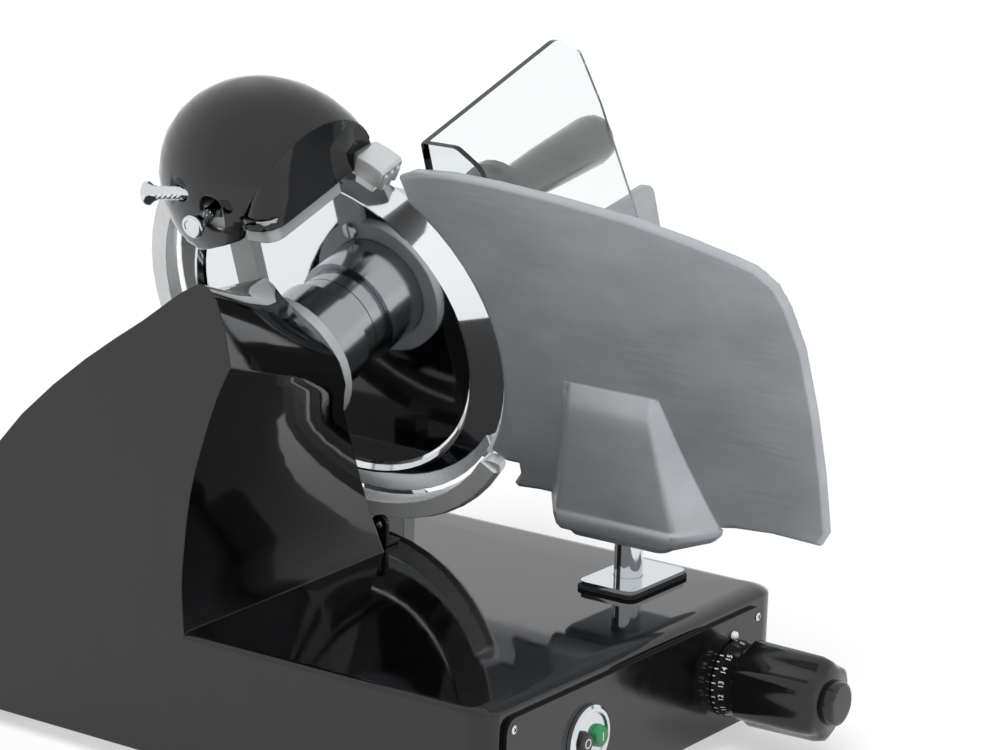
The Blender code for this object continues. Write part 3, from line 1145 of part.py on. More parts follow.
def bracket():
    left, right = TOWER_FACE + GAP, TOWER_FACE + BRACKET_THICKNESS
    ring = tube(HUB_RADIUS + GAP, BRACKET_RING, left, right, "X", count=36)
    item = solid("sharpener_bracket", ring, LEANING, CAST_ALUMINIUM)
    strip = filleted([(STRIP_NEAR, HUB_RADIUS + 3.0), (STRIP_FAR, HUB_RADIUS + 3.0),
                      (STRIP_FAR, SHARPENER_PLATE_BOTTOM - GAP), (STRIP_NEAR, SHARPENER_PLATE_BOTTOM - GAP)],
                     [0, 0, 1, 1], 2)
    join(item, LEANING, prism(strip, left, right, "X"))
    place = (BRACKET_SCREW_Y, BRACKET_SCREW_Z)
    cut(item, LEANING, rod(SCREW_SHANK + GAP, left - 4.0, right + 4.0, "X", place, 14))
    head = right + GAP
    screw = [(head + 2.8, SCREW_HEAD - 1.0), (head + 1.8, SCREW_HEAD), (head, SCREW_HEAD),
             (head, SCREW_SHANK), (TOWER_FACE - WALL + 1.0, SCREW_SHANK)]
    item = solid("bracket_screw", turned(screw, "X", place, 14), LEANING, STEEL)
    cut(item, LEANING, block((head + 1.5, BRACKET_SCREW_Y - 0.7, BRACKET_SCREW_Z - 9.0),
                             (head + 6.0, BRACKET_SCREW_Y + 0.7, BRACKET_SCREW_Z + 9.0)))


def deflector_bracket():
    low = BASE_TOP + GAP
    tab = filleted([(TAB_Y - TAB_HALF, low), (TAB_Y + TAB_HALF, low), (TAB_Y + TAB_HALF, low + TAB_HEIGHT),
                    (TAB_Y - TAB_HALF, low + TAB_HEIGHT)], [0, 0, 5, 5], 4)
    item = solid("deflector_bracket", prism(tab, TAB_X, TAB_X + 3.0, "X"), UPRIGHT, BLACK_ENAMEL)
    foot = block((TAB_X, TAB_Y - TAB_HALF, low), (TAB_X + 14.0, TAB_Y + TAB_HALF, low + 3.0))
    join(item, UPRIGHT, foot)
    cut(item, UPRIGHT, rod(2.2, TAB_X - 3.0, TAB_X + 6.0, "X", (TAB_Y, low + TAB_HEIGHT - 6.0), 12))


def cord_gland():
    face = BASE_BACK + GAP
    profile = [(face - 8.0, 3.8), (face - 8.0, GLAND_THREAD), (face, GLAND_THREAD), (face, 11.0),
               (face + 3.0, 11.0), (face + 4.0, 8.5), (face + 14.0, 6.0), (face + 14.0, 3.8)]
    solid("cord_gland", turned(profile, "Y", (GLAND_X, GLAND_Z), 16, ring=True), UPRIGHT, RUBBER)


base_housing()
base_plate()
feet()
control_panel()
switch()
index_pin()
dial()
motor()
drive_belt()
hub()
spindle()
blade()
ring_guard()
gauge()
rail()
carriage()
sharpener()
bracket()
deflector_bracket()
cord_gland()
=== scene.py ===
# %% [markdown]
# # Dressing a gravity slicer
# The solids of the machine come in as a fixed frame, in metres, standing on z = 0.
# This lesson gives every solid the finish of the real thing and adds what the solids leave
# out or draw plainly: printed numbers, screw sockets, fluted buttons and rounder castings.

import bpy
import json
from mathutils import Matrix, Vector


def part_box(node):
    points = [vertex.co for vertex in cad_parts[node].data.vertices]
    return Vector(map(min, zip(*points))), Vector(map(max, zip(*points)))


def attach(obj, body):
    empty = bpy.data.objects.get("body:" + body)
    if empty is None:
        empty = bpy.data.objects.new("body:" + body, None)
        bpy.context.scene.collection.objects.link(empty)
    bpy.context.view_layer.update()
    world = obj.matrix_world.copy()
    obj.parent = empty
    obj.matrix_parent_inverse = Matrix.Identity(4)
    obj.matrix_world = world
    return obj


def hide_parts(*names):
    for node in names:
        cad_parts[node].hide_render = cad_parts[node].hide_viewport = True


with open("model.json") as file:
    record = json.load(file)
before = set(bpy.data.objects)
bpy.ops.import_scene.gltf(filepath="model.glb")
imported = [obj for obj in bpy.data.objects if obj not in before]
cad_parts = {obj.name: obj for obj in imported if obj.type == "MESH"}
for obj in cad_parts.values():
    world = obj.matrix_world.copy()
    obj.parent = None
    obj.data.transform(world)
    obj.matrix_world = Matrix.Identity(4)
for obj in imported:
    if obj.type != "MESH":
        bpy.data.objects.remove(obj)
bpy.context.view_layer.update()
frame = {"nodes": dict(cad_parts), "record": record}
print("solids:", len(frame["nodes"]))

# %% [markdown]
# The blade leans, so two sets of directions are kept: the world's, and the blade's own, with
# one direction along the spindle, one across and one up the face of the blade.

# %% Directions and places on the machine
import json
from math import atan, cos, pi, radians, sin, sqrt

import bmesh
import bpy
from mathutils import Matrix, Vector

MM = 0.001
LEAN = radians(19.35)
BLADE_CENTRE = Vector((-0.01635, 0.09415, 0.232))
SPINDLE = Vector((cos(LEAN), 0.0, sin(LEAN)))
ACROSS = Vector((0.0, 1.0, 0.0))
UP_BLADE = Vector((-sin(LEAN), 0.0, cos(LEAN)))
DIAL_AXIS = Vector((0.02265, 0.0, 0.046))


def on_blade(s, y, z):
    """World point from millimetres along the spindle, across and up the blade."""
    return BLADE_CENTRE + (SPINDLE * s + ACROSS * y + UP_BLADE * z) * MM


print("spindle points to", [round(v, 3) for v in SPINDLE])

# %% [markdown]
# The photograph was taken from the left front, a little above the machine, with a long lens.
# The camera stands where the blade, its bevel and the straight edges put it. Its turn about
# its own axis is under two degrees.

# %% Camera
CAMERA_PLACE = Vector((-1.74325, -1.22535, 0.752))
AZIMUTH = radians(55.32)
ELEVATION = radians(14.28)
ROLL = radians(1.73)
FOCAL_PIXELS = 3548.7
PICTURE_WIDTH = 1000

forward = Vector((sin(AZIMUTH) * cos(ELEVATION), cos(AZIMUTH) * cos(ELEVATION), -sin(ELEVATION)))
level = Vector((cos(AZIMUTH), -sin(AZIMUTH), 0.0))
upright = level.cross(forward)
right = level * cos(ROLL) + upright * sin(ROLL)
up = upright * cos(ROLL) - level * sin(ROLL)
lens = bpy.data.cameras.new("camera")
lens.sensor_width = 36.0
lens.lens = FOCAL_PIXELS / PICTURE_WIDTH * lens.sensor_width
camera = bpy.data.objects.new("camera", lens)
turn = Matrix((right, up, -forward)).transposed().to_4x4()
camera.matrix_world = Matrix.Translation(CAMERA_PLACE) @ turn
bpy.context.scene.collection.objects.link(camera)
bpy.context.scene.camera = camera
bpy.context.scene.view_settings.view_transform = "Standard"
print("lens:", round(lens.lens, 1), "mm")

# %% [markdown]
# Materials, the world and the shading of the solids are all node trees. Colours are written as
# sRGB codes, as a paint chart gives them, and shaders want them linear, so one function turns
# them. A second one adds a node with its settings, its values and its links in one line.

# %% Node helpers
def linear(code):
    """An sRGB hex colour as the linear numbers that shaders want."""
    parts = [int(code[i:i + 2], 16) / 255 for i in (1, 3, 5)]
    return [p / 12.92 if p <= 0.04045 else ((p + 0.055) / 1.055) ** 2.4 for p in parts] + [1.0]


def add(tree, kind, settings=None, values=None, links=None):
    """Adds one node, sets its options and socket values, and links outputs into its inputs."""
    made = tree.nodes.new(kind)
    for name, value in (settings or {}).items():
        setattr(made, name, value)
    for name, value in (values or {}).items():
        made.inputs[name].default_value = value
    for name, source in (links or {}).items():
        tree.links.new(source, made.inputs[name])
    return made


print("the sRGB grey 808080 is", round(linear("#808080")[0], 3), "in linear light")

# %% [markdown]
# Product photographs of black gloss are taken in a white tent, because gloss shows the shape
# of every lamp. Here the world is a plain white room, one wide sun gives the shadows their
# direction, and one soft box above the left front lifts the dome. Gloss doesn't see the two
# lamps themselves, only the room.

# %% World and lamps
ROOM_LIGHT = 0.62
SUN_STRENGTH = 1.25
SUN_WIDTH = radians(35)
SOFT_BOX_WATTS = 9.0
SOFT_BOX_SIZE = (0.9, 0.6)

world = bpy.data.worlds.new("white_room")
bpy.context.scene.world = world
world.use_nodes = True
room = world.node_tree
room.nodes.clear()
path = add(room, "ShaderNodeLightPath")
seen = add(room, "ShaderNodeMath", {"operation": "MAXIMUM"}, links={
    0: path.outputs["Is Camera Ray"], 1: path.outputs["Is Glossy Ray"]})
seen_through = add(room, "ShaderNodeMath", {"operation": "MAXIMUM"}, links={
    0: seen.outputs[0], 1: path.outputs["Is Transmission Ray"]})
fill = add(room, "ShaderNodeBackground",
           values={"Color": linear("#ffffff"), "Strength": ROOM_LIGHT})
shown = add(room, "ShaderNodeBackground", values={"Color": linear("#ffffff"), "Strength": 1.0})
either = add(room, "ShaderNodeMixShader", links={
    0: seen_through.outputs[0], 1: fill.outputs[0], 2: shown.outputs[0]})
add(room, "ShaderNodeOutputWorld", links={"Surface": either.outputs[0]})


def lamp(name, kind, place, target, energy, size):
    """A lamp at a place in metres, aimed at a target; the size is an angle for a sun."""
    data = bpy.data.lights.new(name, kind)
    data.energy = energy
    if kind == "AREA":
        data.shape = "RECTANGLE"
        data.size, data.size_y = size
    else:
        data.angle = size
    item = bpy.data.objects.new(name, data)
    aim = (Vector(target) - Vector(place)).to_track_quat("-Z", "Y").to_matrix().to_4x4()
    item.matrix_world = Matrix.Translation(Vector(place)) @ aim
    item.visible_glossy = False
    bpy.context.scene.collection.objects.link(item)


lamp("wide_sun", "SUN", (-1.2, -1.0, 2.4), (0, 0, 0.1), SUN_STRENGTH, SUN_WIDTH)
lamp("soft_box", "AREA", (-1.5, -0.5, 1.5), (-0.05, 0.05, 0.25), SOFT_BOX_WATTS, SOFT_BOX_SIZE)

# %% [markdown]
# The floor is a plain pale sheet. Seen straight, through the clear guard or in the blade it is
# lifted close to white, and its own diffuse colour keeps the shadow of the machine.

# %% Floor
FLOOR_RADIUS = 9.0
FLOOR_GLOW = 0.42


def mesh_object(name, build):
    """Makes a mesh object from a function that fills a bmesh."""
    work = bmesh.new()
    build(work)
    bmesh.ops.recalc_face_normals(work, faces=work.faces)
    data = bpy.data.meshes.new(name)
    work.to_mesh(data)
    work.free()
    item = bpy.data.objects.new(name, data)
    bpy.context.scene.collection.objects.link(item)
    return item


def disc(work, count=96):
    """A round sheet on the ground."""
    ring = []
    for i in range(count):
        turn = 2 * pi * i / count
        ring.append(work.verts.new((FLOOR_RADIUS * cos(turn), FLOOR_RADIUS * sin(turn), 0.0)))
    work.faces.new(ring)


floor = mesh_object("floor", disc)
paper = bpy.data.materials.new("pale_paper")
paper.use_nodes = True
sheet = paper.node_tree
sheet.nodes.clear()
path = add(sheet, "ShaderNodeLightPath")
through = add(sheet, "ShaderNodeMath", {"operation": "MAXIMUM"}, links={
    0: path.outputs["Is Camera Ray"], 1: path.outputs["Is Transmission Ray"]})
direct = add(sheet, "ShaderNodeMath", {"operation": "MAXIMUM"}, links={
    0: through.outputs[0], 1: path.outputs["Is Glossy Ray"]})
body = add(sheet, "ShaderNodeBsdfDiffuse", values={"Color": linear("#d0d0d0")})
glow = add(sheet, "ShaderNodeEmission", values={"Color": linear("#ffffff"), "Strength": FLOOR_GLOW})
lifted = add(sheet, "ShaderNodeAddShader", links={0: body.outputs[0], 1: glow.outputs[0]})
bounce = add(sheet, "ShaderNodeMixShader", links={
    0: direct.outputs[0], 1: body.outputs[0], 2: lifted.outputs[0]})
add(sheet, "ShaderNodeOutputMaterial", links={"Surface": bounce.outputs[0]})
floor.data.materials.append(paper)
print("floor radius:", FLOOR_RADIUS, "m")

# %% [markdown]
# ## Finishes
# Each finish starts from what the real surface is. A pattern is laid in the machine's own
# metres, so its scale is one over its real size. The solids end in sharp edges, where a
# casting has a small radius that catches the light, so a bevel node rounds the light over
# the edges of the castings by one to two and a half millimetres.

# %% Starting a finish
def finish(name, code, **sockets):
    """A material with one Principled shader. Returns the material, its tree and the shader."""
    made = bpy.data.materials.new(name)
    made.use_nodes = True
    tree = made.node_tree
    tree.nodes.clear()
    shader = add(tree, "ShaderNodeBsdfPrincipled", values={"Base Color": linear(code), **sockets})
    add(tree, "ShaderNodeOutputMaterial", links={"Surface": shader.outputs[0]})
    return made, tree, shader


def place(tree):
    """The point on the surface in metres of the machine."""
    return add(tree, "ShaderNodeTexCoord").outputs["Object"]


def grain(tree, size, stretch=(1, 1, 1), detail=2.0):
    """Noise whose features are about as large as the size in metres, drawn out by the stretch."""
    scale = [1 / (size * s) for s in stretch]
    spot = add(tree, "ShaderNodeMapping", values={"Scale": scale}, links={"Vector": place(tree)})
    return add(tree, "ShaderNodeTexNoise", values={"Scale": 1.0, "Detail": detail},
               links={"Vector": spot.outputs[0]})


NOISE_LOW, NOISE_HIGH = 0.3, 0.7  # nearly all of a noise pattern lies between these


def spread(tree, source, low, high):
    """Turns a pattern into numbers between two limits."""
    limits = {"From Min": NOISE_LOW, "From Max": NOISE_HIGH, "To Min": low, "To Max": high}
    return add(tree, "ShaderNodeMapRange", values=limits, links={"Value": source}).outputs[0]


def two_tones(tree, source, first, second, start=NOISE_LOW, end=NOISE_HIGH):
    """Turns a pattern into a colour between two sRGB codes."""
    made = add(tree, "ShaderNodeValToRGB", links={"Fac": source})
    ends = made.color_ramp.elements
    ends[0].position, ends[1].position = start, end
    ends[0].color, ends[1].color = linear(first), linear(second)
    return made.outputs["Color"]


def relief(tree, shader, source, depth, strength=1.0, soft=0.0):
    """Raises the surface by the depth in metres where the pattern is high.

    Soft is the radius in metres by which the light is rounded over the edges.
    """
    bump = add(tree, "ShaderNodeBump", values={"Distance": depth, "Strength": strength},
               links={"Height": source})
    if soft:
        rounded = add(tree, "ShaderNodeBevel", {"samples": 6}, {"Radius": soft})
        tree.links.new(rounded.outputs["Normal"], bump.inputs["Normal"])
    tree.links.new(bump.outputs["Normal"], shader.inputs["Normal"])


# %% [markdown]
# The body is die-cast aluminium under stove enamel. Enamel flows before it hardens, which
# leaves a very slight orange peel, about three millimetres from crest to crest, and a gloss
# that mirrors the whole room. A faint dust of wiping marks keeps the gloss from being even.

# %% Black enamel
def black_enamel():
    made, tree, shader = finish("black_stove_enamel", "#060607", IOR=1.52)
    peel = grain(tree, 3.2 * MM)
    relief(tree, shader, peel.outputs[0], 0.006 * MM, 0.5, soft=1.2 * MM)
    wiped = grain(tree, 45 * MM, (1, 0.35, 1), 4.0)
    tree.links.new(spread(tree, wiped.outputs[0], 0.03, 0.075), shader.inputs["Roughness"])
    tree.links.new(two_tones(tree, wiped.outputs[0], "#050506", "#0a0a0c"),
                   shader.inputs["Base Color"])
    return made


# %% [markdown]
# The blade is hardened stainless steel, turned and then polished on the spindle, so its marks
# are rings round the axis. A one-dimensional noise over the distance from the axis draws
# rings without a picture. The real marks are finer than a pixel, so they are drawn about
# 0.6 mm apart.

# %% Polished and turned steel
def ring_distance(tree):
    """Distance of the surface from the spindle's axis, in metres."""
    offset = add(tree, "ShaderNodeVectorMath", {"operation": "SUBTRACT"}, {1: BLADE_CENTRE},
                 {0: place(tree)})
    along = add(tree, "ShaderNodeVectorMath", {"operation": "CROSS_PRODUCT"}, {1: SPINDLE},
                {0: offset.outputs[0]})
    return add(tree, "ShaderNodeVectorMath", {"operation": "LENGTH"},
               links={0: along.outputs[0]}).outputs["Value"]


def ringed_steel(name, code, smooth, rough, pitch, depth):
    """Steel with turning rings round the spindle, one about every pitch in metres."""
    made, tree, shader = finish(name, code, Metallic=1.0)
    steps = add(tree, "ShaderNodeMath", {"operation": "DIVIDE"}, {1: pitch},
                {0: ring_distance(tree)})
    rings = add(tree, "ShaderNodeTexNoise", {"noise_dimensions": "1D"},
                {"Scale": 1.0, "Detail": 3.0}, {"W": steps.outputs[0]})
    tree.links.new(spread(tree, rings.outputs[0], smooth, rough), shader.inputs["Roughness"])
    relief(tree, shader, rings.outputs[0], depth, 0.4)
    return made


def turned_steel():
    """Steel turned along the spindle, with a tool mark about every half millimetre."""
    made, tree, shader = finish("turned_bright_steel", "#b4b7b9", Metallic=1.0)
    steps = add(tree, "ShaderNodeVectorMath", {"operation": "DOT_PRODUCT"},
                {1: SPINDLE / (0.5 * MM)}, {0: place(tree)})
    rings = add(tree, "ShaderNodeTexNoise", {"noise_dimensions": "1D"},
                {"Scale": 1.0, "Detail": 2.0}, {"W": steps.outputs["Value"]})
    tree.links.new(spread(tree, rings.outputs[0], 0.12, 0.22), shader.inputs["Roughness"])
    relief(tree, shader, rings.outputs[0], 0.004 * MM, 0.4)
    return made


# %% [markdown]
# The gauge plate and the tray are aluminium, belt-ground and then anodised. The belt runs
# along the plate, so the scratches are long and level: noise that is drawn out sixty times in
# that direction. Anodising greys the metal and softens its shine. The real scratches are a
# twentieth of a millimetre wide, and they are drawn ten times as coarse, so that they show.

# %% Brushed aluminium
def brushed_aluminium():
    made, tree, shader = finish("belt_ground_anodised_aluminium", "#b3b6b9", Metallic=0.6)
    shader.inputs["Anisotropic"].default_value = 0.3
    lines = grain(tree, 0.5 * MM, (1, 60, 1), 3.0)
    cloud = grain(tree, 38 * MM, (1, 1.6, 1), 4.0)
    tree.links.new(spread(tree, lines.outputs[0], 0.4, 0.52), shader.inputs["Roughness"])
    both = add(tree, "ShaderNodeMath", {"operation": "MULTIPLY_ADD"}, {1: 0.3},
               {0: lines.outputs[0], 2: spread(tree, cloud.outputs[0], 0.2, 0.5)})
    tree.links.new(two_tones(tree, both.outputs[0], "#a4a8ac", "#bcc0c4"),
                   shader.inputs["Base Color"])
    relief(tree, shader, lines.outputs[0], 0.008 * MM, 0.35, soft=2.5 * MM)
    return made


# %% [markdown]
# The sharpener's plate, the ring and the arms are fine castings, tumbled and left bare. The
# mould's skin shows as a soft grain under a millimetre wide, in a light grey.
#
# The sharpener's plate and bracket are blasted with fine beads besides, which makes them an
# even matt grey that scarcely mirrors anything.

# %% Cast aluminium
def casting(name, code, other, low, high, metal):
    """Cast aluminium: two close tones, a range of roughness and how metallic its skin looks."""
    made, tree, shader = finish(name, code, Metallic=metal)
    skin = grain(tree, 0.9 * MM, detail=3.0)
    stain = grain(tree, 22 * MM, detail=4.0)
    tree.links.new(spread(tree, stain.outputs[0], low, high), shader.inputs["Roughness"])
    tree.links.new(two_tones(tree, stain.outputs[0], code, other), shader.inputs["Base Color"])
    relief(tree, shader, skin.outputs[0], 0.015 * MM, 0.35, soft=1.0 * MM)
    return made


# %% [markdown]
# Chrome plate is a thin hard mirror over polished steel. What tells it from a perfect mirror
# is a haze of short wiping scratches, which only shows in how sharp the reflections are.

# %% Chrome plate
def chrome():
    made, tree, shader = finish("bright_chrome_plate", "#d4d7da", Metallic=1.0)
    haze = grain(tree, 2.5 * MM, (1, 1, 8), 4.0)
    tree.links.new(spread(tree, haze.outputs[0], 0.03, 0.11), shader.inputs["Roughness"])
    return made


# %% [markdown]
# Plastics: glass-filled nylon for the knobs, with the fine grain that spark erosion
# leaves in the mould; glossy ABS for the push buttons; and white acetal for the small pin.
# Nitrile rubber for the feet and the belt, and the motor's thick paint, are made the same way.

# %% Plastics and rubber
def moulded(name, code, other, low, high, size, depth):
    """Moulded plastic or rubber: two close tones, a range of roughness and a grain."""
    made, tree, shader = finish(name, code)
    skin = grain(tree, size)
    wear = grain(tree, size * 30, detail=4.0)
    tree.links.new(spread(tree, wear.outputs[0], low, high), shader.inputs["Roughness"])
    tree.links.new(two_tones(tree, wear.outputs[0], code, other), shader.inputs["Base Color"])
    relief(tree, shader, skin.outputs[0], depth, 0.4)
    return made


# %% [markdown]
# The hand guard is cast acrylic sheet with sawn and flame-polished edges. Clear plastic is
# a transmission shader with acrylic's own refraction, 1.49. Its faces carry a faint haze.

# %% Clear acrylic
def clear_acrylic():
    made, tree, shader = finish("clear_cast_acrylic", "#f4f7f7", IOR=1.49)
    shader.inputs["Transmission Weight"].default_value = 1.0
    haze = grain(tree, 12 * MM, detail=4.0)
    tree.links.new(spread(tree, haze.outputs[0], 0.0, 0.03), shader.inputs["Roughness"])
    return made


# %% [markdown]
# The stones are bonded alumina: hard grit of about a quarter of a millimetre in a clay bond,
# open between the grains and dull all over. A pattern of close-packed cells stands for the
# grit, drawn nearly twice as coarse as the real grain, so that it shows.

# %% Abrasive stone
def abrasive_stone():
    made, tree, shader = finish("bonded_alumina_stone", "#8b6b57", Roughness=0.92)
    grit = add(tree, "ShaderNodeTexVoronoi", values={"Scale": 1 / (0.45 * MM)},
               links={"Vector": place(tree)})
    tree.links.new(two_tones(tree, grit.outputs["Distance"], "#a5826b", "#6a4f40", 0.1, 0.6),
                   shader.inputs["Base Color"])
    relief(tree, shader, grit.outputs["Distance"], 0.12 * MM, 0.7)
    return made


# %% [markdown]
# The record names a slot for every solid, and each slot gets one finish. Three castings that
# look different in the photograph, although they share a slot, get one of their own.

# %% Making the finishes
FINISHES = {
    "black_enamel": black_enamel(),
    "black_plastic": moulded("glass_filled_nylon", "#0b0b0c", "#0e0e0f", 0.1, 0.17, 0.35 * MM,
                             0.006 * MM),
    "rubber": moulded("nitrile_rubber", "#151515", "#222222", 0.7, 0.85, 0.5 * MM, 0.05 * MM),
    "mirror_steel": ringed_steel("polished_blade_steel", "#dfe1e3", 0.025, 0.07, 0.6 * MM,
                                 0.0015 * MM),
    "turned_steel": turned_steel(),
    "chrome": chrome(),
    "brushed_aluminium": brushed_aluminium(),
    "cast_aluminium": casting("tumbled_cast_aluminium", "#bfc1c3", "#d4d6d8", 0.22, 0.34, 1.0),
    "clear_acrylic": clear_acrylic(),
    "white_plastic": moulded("white_acetal", "#e8e8e4", "#f2f2ef", 0.3, 0.4, 0.3 * MM, 0.01 * MM),
    "green_plastic": moulded("green_abs", "#1a7d43", "#228c4e", 0.18, 0.28, 0.4 * MM, 0.01 * MM),
    "black_button": moulded("black_abs", "#1b1b1d", "#242426", 0.18, 0.28, 0.4 * MM, 0.01 * MM),
    "abrasive_stone": abrasive_stone(),
    "motor_paint": moulded("motor_paint", "#34383b", "#41464a", 0.4, 0.55, 0.8 * MM, 0.03 * MM),
}
OWN_FINISHES = {
    "sharpener_bracket": casting("bead_blasted_casting", "#bcbebf", "#c9cbcc", 0.45, 0.58, 0.15),
    "blade_guard_ring": casting("polished_ring_casting", "#d9dbdc", "#e6e7e8", 0.24, 0.36, 0.4),
    "sharpener_base": casting("bead_blasted_light_casting", "#b2b4b5", "#bfc1c2", 0.42, 0.55, 0.35),
}
print("finishes:", len(FINISHES) + len(OWN_FINISHES))

# %% [markdown]
# Every solid gets its finish by the name of its slot in the record. The solids come in as
# flat triangles, so a small geometry-nodes modifier welds them and shades them as the curved
# surfaces that they stand for, and keeps an edge sharp where two faces meet at more than a
# set angle. Weighting the normals by area keeps large flats flat, above all the face of the
# blade, which is a mirror. The meshes themselves stay as they are.

# %% Smooth shading
WELD = 0.004 * MM
TRIM_BLOCK = (0.4, 0.4, 0.1)


def smooth_group(name, limit, trim=None):
    """Geometry nodes that weld a mesh and smooth it except over edges steeper than the limit.

    A trim is the place and turn of a large block that is taken off the welded mesh.
    """
    tree = bpy.data.node_groups.new(name, "GeometryNodeTree")
    tree.interface.new_socket("Geometry", in_out="INPUT", socket_type="NodeSocketGeometry")
    tree.interface.new_socket("Geometry", in_out="OUTPUT", socket_type="NodeSocketGeometry")
    source = add(tree, "NodeGroupInput")
    weld = add(tree, "GeometryNodeMergeByDistance", values={"Distance": WELD},
               links={"Geometry": source.outputs[0]})
    if trim:
        block = add(tree, "GeometryNodeMeshCube", values={"Size": TRIM_BLOCK})
        spot, turn = trim
        moved = add(tree, "GeometryNodeTransform", links={"Geometry": block.outputs[0]},
                    values={"Translation": spot, "Rotation": turn})
        less = add(tree, "GeometryNodeMeshBoolean", {"operation": "DIFFERENCE"})
        tree.links.new(weld.outputs[0], less.inputs["Mesh 1"])
        tree.links.new(moved.outputs[0], less.inputs["Mesh 2"])
        weld = add(tree, "GeometryNodeMergeByDistance", values={"Distance": WELD},
                   links={"Geometry": less.outputs[0]})
    angle = add(tree, "GeometryNodeInputMeshEdgeAngle")
    steep = add(tree, "FunctionNodeCompare", {"operation": "GREATER_THAN"}, {1: limit},
                {0: angle.outputs["Unsigned Angle"]})
    normals = add(tree, "GeometryNodeSetMeshNormal", {"mode": "SHARPNESS"},
                  {"Remove Custom": True, "Face Sharpness": False},
                  {"Mesh": weld.outputs[0], "Edge Sharpness": steep.outputs[0]})
    add(tree, "NodeGroupOutput", links={"Geometry": normals.outputs[0]})
    return tree


gentle = smooth_group("smooth_up_to_30_degrees", radians(30))
round_forms = smooth_group("smooth_up_to_50_degrees", radians(50))
plane_forms = smooth_group("smooth_up_to_15_degrees", radians(15))
print("smoothing groups:", len(bpy.data.node_groups))

# %% [markdown]
# The real cover's lower edge rises towards the front, and its solid ends level. A large block,
# laid at the rim's slope, takes the slanted slice off inside the same geometry nodes, so the
# mesh below stays whole.

# %% Slanted rim of the sharpener's cover
RIM_SLOPE = 0.41
RIM_LOW = (84.0, 45.0)  # height of the rim's low end, and its place across the blade
RIM_MIDDLE = (-40, -3.0)  # the cover's middle, along the spindle and across the blade


def rim_height(y):
    """Height of the cover's lower edge up the blade, in millimetres, at a place across it."""
    return RIM_LOW[0] + RIM_SLOPE * (RIM_LOW[1] - y)


slant = Matrix((SPINDLE, ACROSS, UP_BLADE)).transposed() @ Matrix.Rotation(-atan(RIM_SLOPE), 3, "X")
half_block = slant @ Vector((0, 0, TRIM_BLOCK[2] / 2))
slice_place = on_blade(*RIM_MIDDLE, rim_height(RIM_MIDDLE[1])) - half_block
cover_group = smooth_group("trimmed_cover", radians(50), (slice_place, slant.to_euler()))
print("rim slope:", RIM_SLOPE)

# %% [markdown]
# Now each solid gets its finish and its smoothing. Turned parts have facets up to fifty
# degrees apart and no large flat, so they are smoothed widely. The blade and the gauge plate
# are flats with a bevel, so they are smoothed hardly at all.

# %% Finishes and smoothing on the solids
ROUND_NODES = {"bearing_hub", "blade_spindle", "dial_knob", "grind_button", "deburr_button"}
PLANE_NODES = {"blade", "gauge_plate"}
UNWEIGHTED_NODES = ROUND_NODES | {"sharpener_cover", "pusher_handle"}
for row in frame["record"]["subparts"]:
    item = frame["nodes"][row["node"]]
    item.data.materials.clear()
    item.data.materials.append(OWN_FINISHES.get(row["node"], FINISHES[row["material_slot"]]))
    smoothing = item.modifiers.new("smooth", "NODES")
    if row["node"] == "sharpener_cover":
        smoothing.node_group = cover_group
    elif row["node"] in PLANE_NODES:
        smoothing.node_group = plane_forms
    else:
        smoothing.node_group = round_forms if row["node"] in ROUND_NODES else gentle
    if row["node"] not in UNWEIGHTED_NODES:
        weighting = item.modifiers.new("weighted", "WEIGHTED_NORMAL")
        weighting.keep_sharp = True

# %% [markdown]
# ## Small pieces
# The dial's skirt carries fine ticks at the panel's edge and numbers from 0 to 15, printed in
# white ink. The tops of the figures point to the panel and they run clockwise, seen from the
# front. Both are laid out with one function that gives a point on the skirt.

# %% Skirt of the dial
SKIRT_START = -0.18145
SKIRT_RADIUS = 24 * MM
SKIRT_STRAIGHT = 3 * MM
SKIRT_TAPER = 0.25
PRINT_LIFT = 0.05 * MM
DIAL_SWEEP = radians(320)
DIAL_STEPS = 15
ink, tree, shader = finish("white_print_ink", "#e9e9e6", Roughness=0.45)
relief(tree, shader, grain(tree, 0.4 * MM).outputs[0], 0.01 * MM, 0.3)


def skirt_point(turn, depth, lift):
    """Point on the skirt: an angle clockwise from the top, metres from the panel, lift off it."""
    radius = SKIRT_RADIUS - max(depth - SKIRT_STRAIGHT, 0.0) * SKIRT_TAPER + lift
    return Vector((DIAL_AXIS.x + radius * sin(turn), SKIRT_START - depth,
                   DIAL_AXIS.z + radius * cos(turn)))


print("dial steps:", DIAL_STEPS)

# %% [markdown]
# A tick is a thin closed plate that follows the skirt, a twentieth of a millimetre high, which
# is about what a layer of printing ink stands off the plastic.

# %% Ticks
def ribbon(work, corners, lift):
    """A closed thin plate on the skirt from four corners given as (turn, depth)."""
    low = [work.verts.new(skirt_point(t, d, 0.0)) for t, d in corners]
    high = [work.verts.new(skirt_point(t, d, lift)) for t, d in corners]
    work.faces.new(low[::-1])
    work.faces.new(high)
    for i in range(4):
        j = (i + 1) % 4
        work.faces.new((low[i], low[j], high[j], high[i]))


def ticks(work):
    """A long tick at every step of the dial and a short one between them."""
    start = 0.2 * MM
    half = 0.3 * MM / SKIRT_RADIUS
    for step in range(DIAL_STEPS * 2 + 1):
        middle = DIAL_SWEEP * step / (DIAL_STEPS * 2)
        end = start + (2.6 * MM if step % 2 == 0 else 1.6 * MM)
        ribbon(work, [(middle - half, start), (middle + half, start),
                      (middle + half, end), (middle - half, end)], PRINT_LIFT)


dial_ticks = mesh_object("dial_ticks", ticks)
dial_ticks.data.materials.append(ink)
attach(dial_ticks, "dial")
print("ticks:", DIAL_STEPS * 2 + 1)

# %% [markdown]
# Each number is written flat first, as a text with a little thickness. Its points are then
# laid round the skirt: what was level becomes a turn, and what was upright becomes depth.

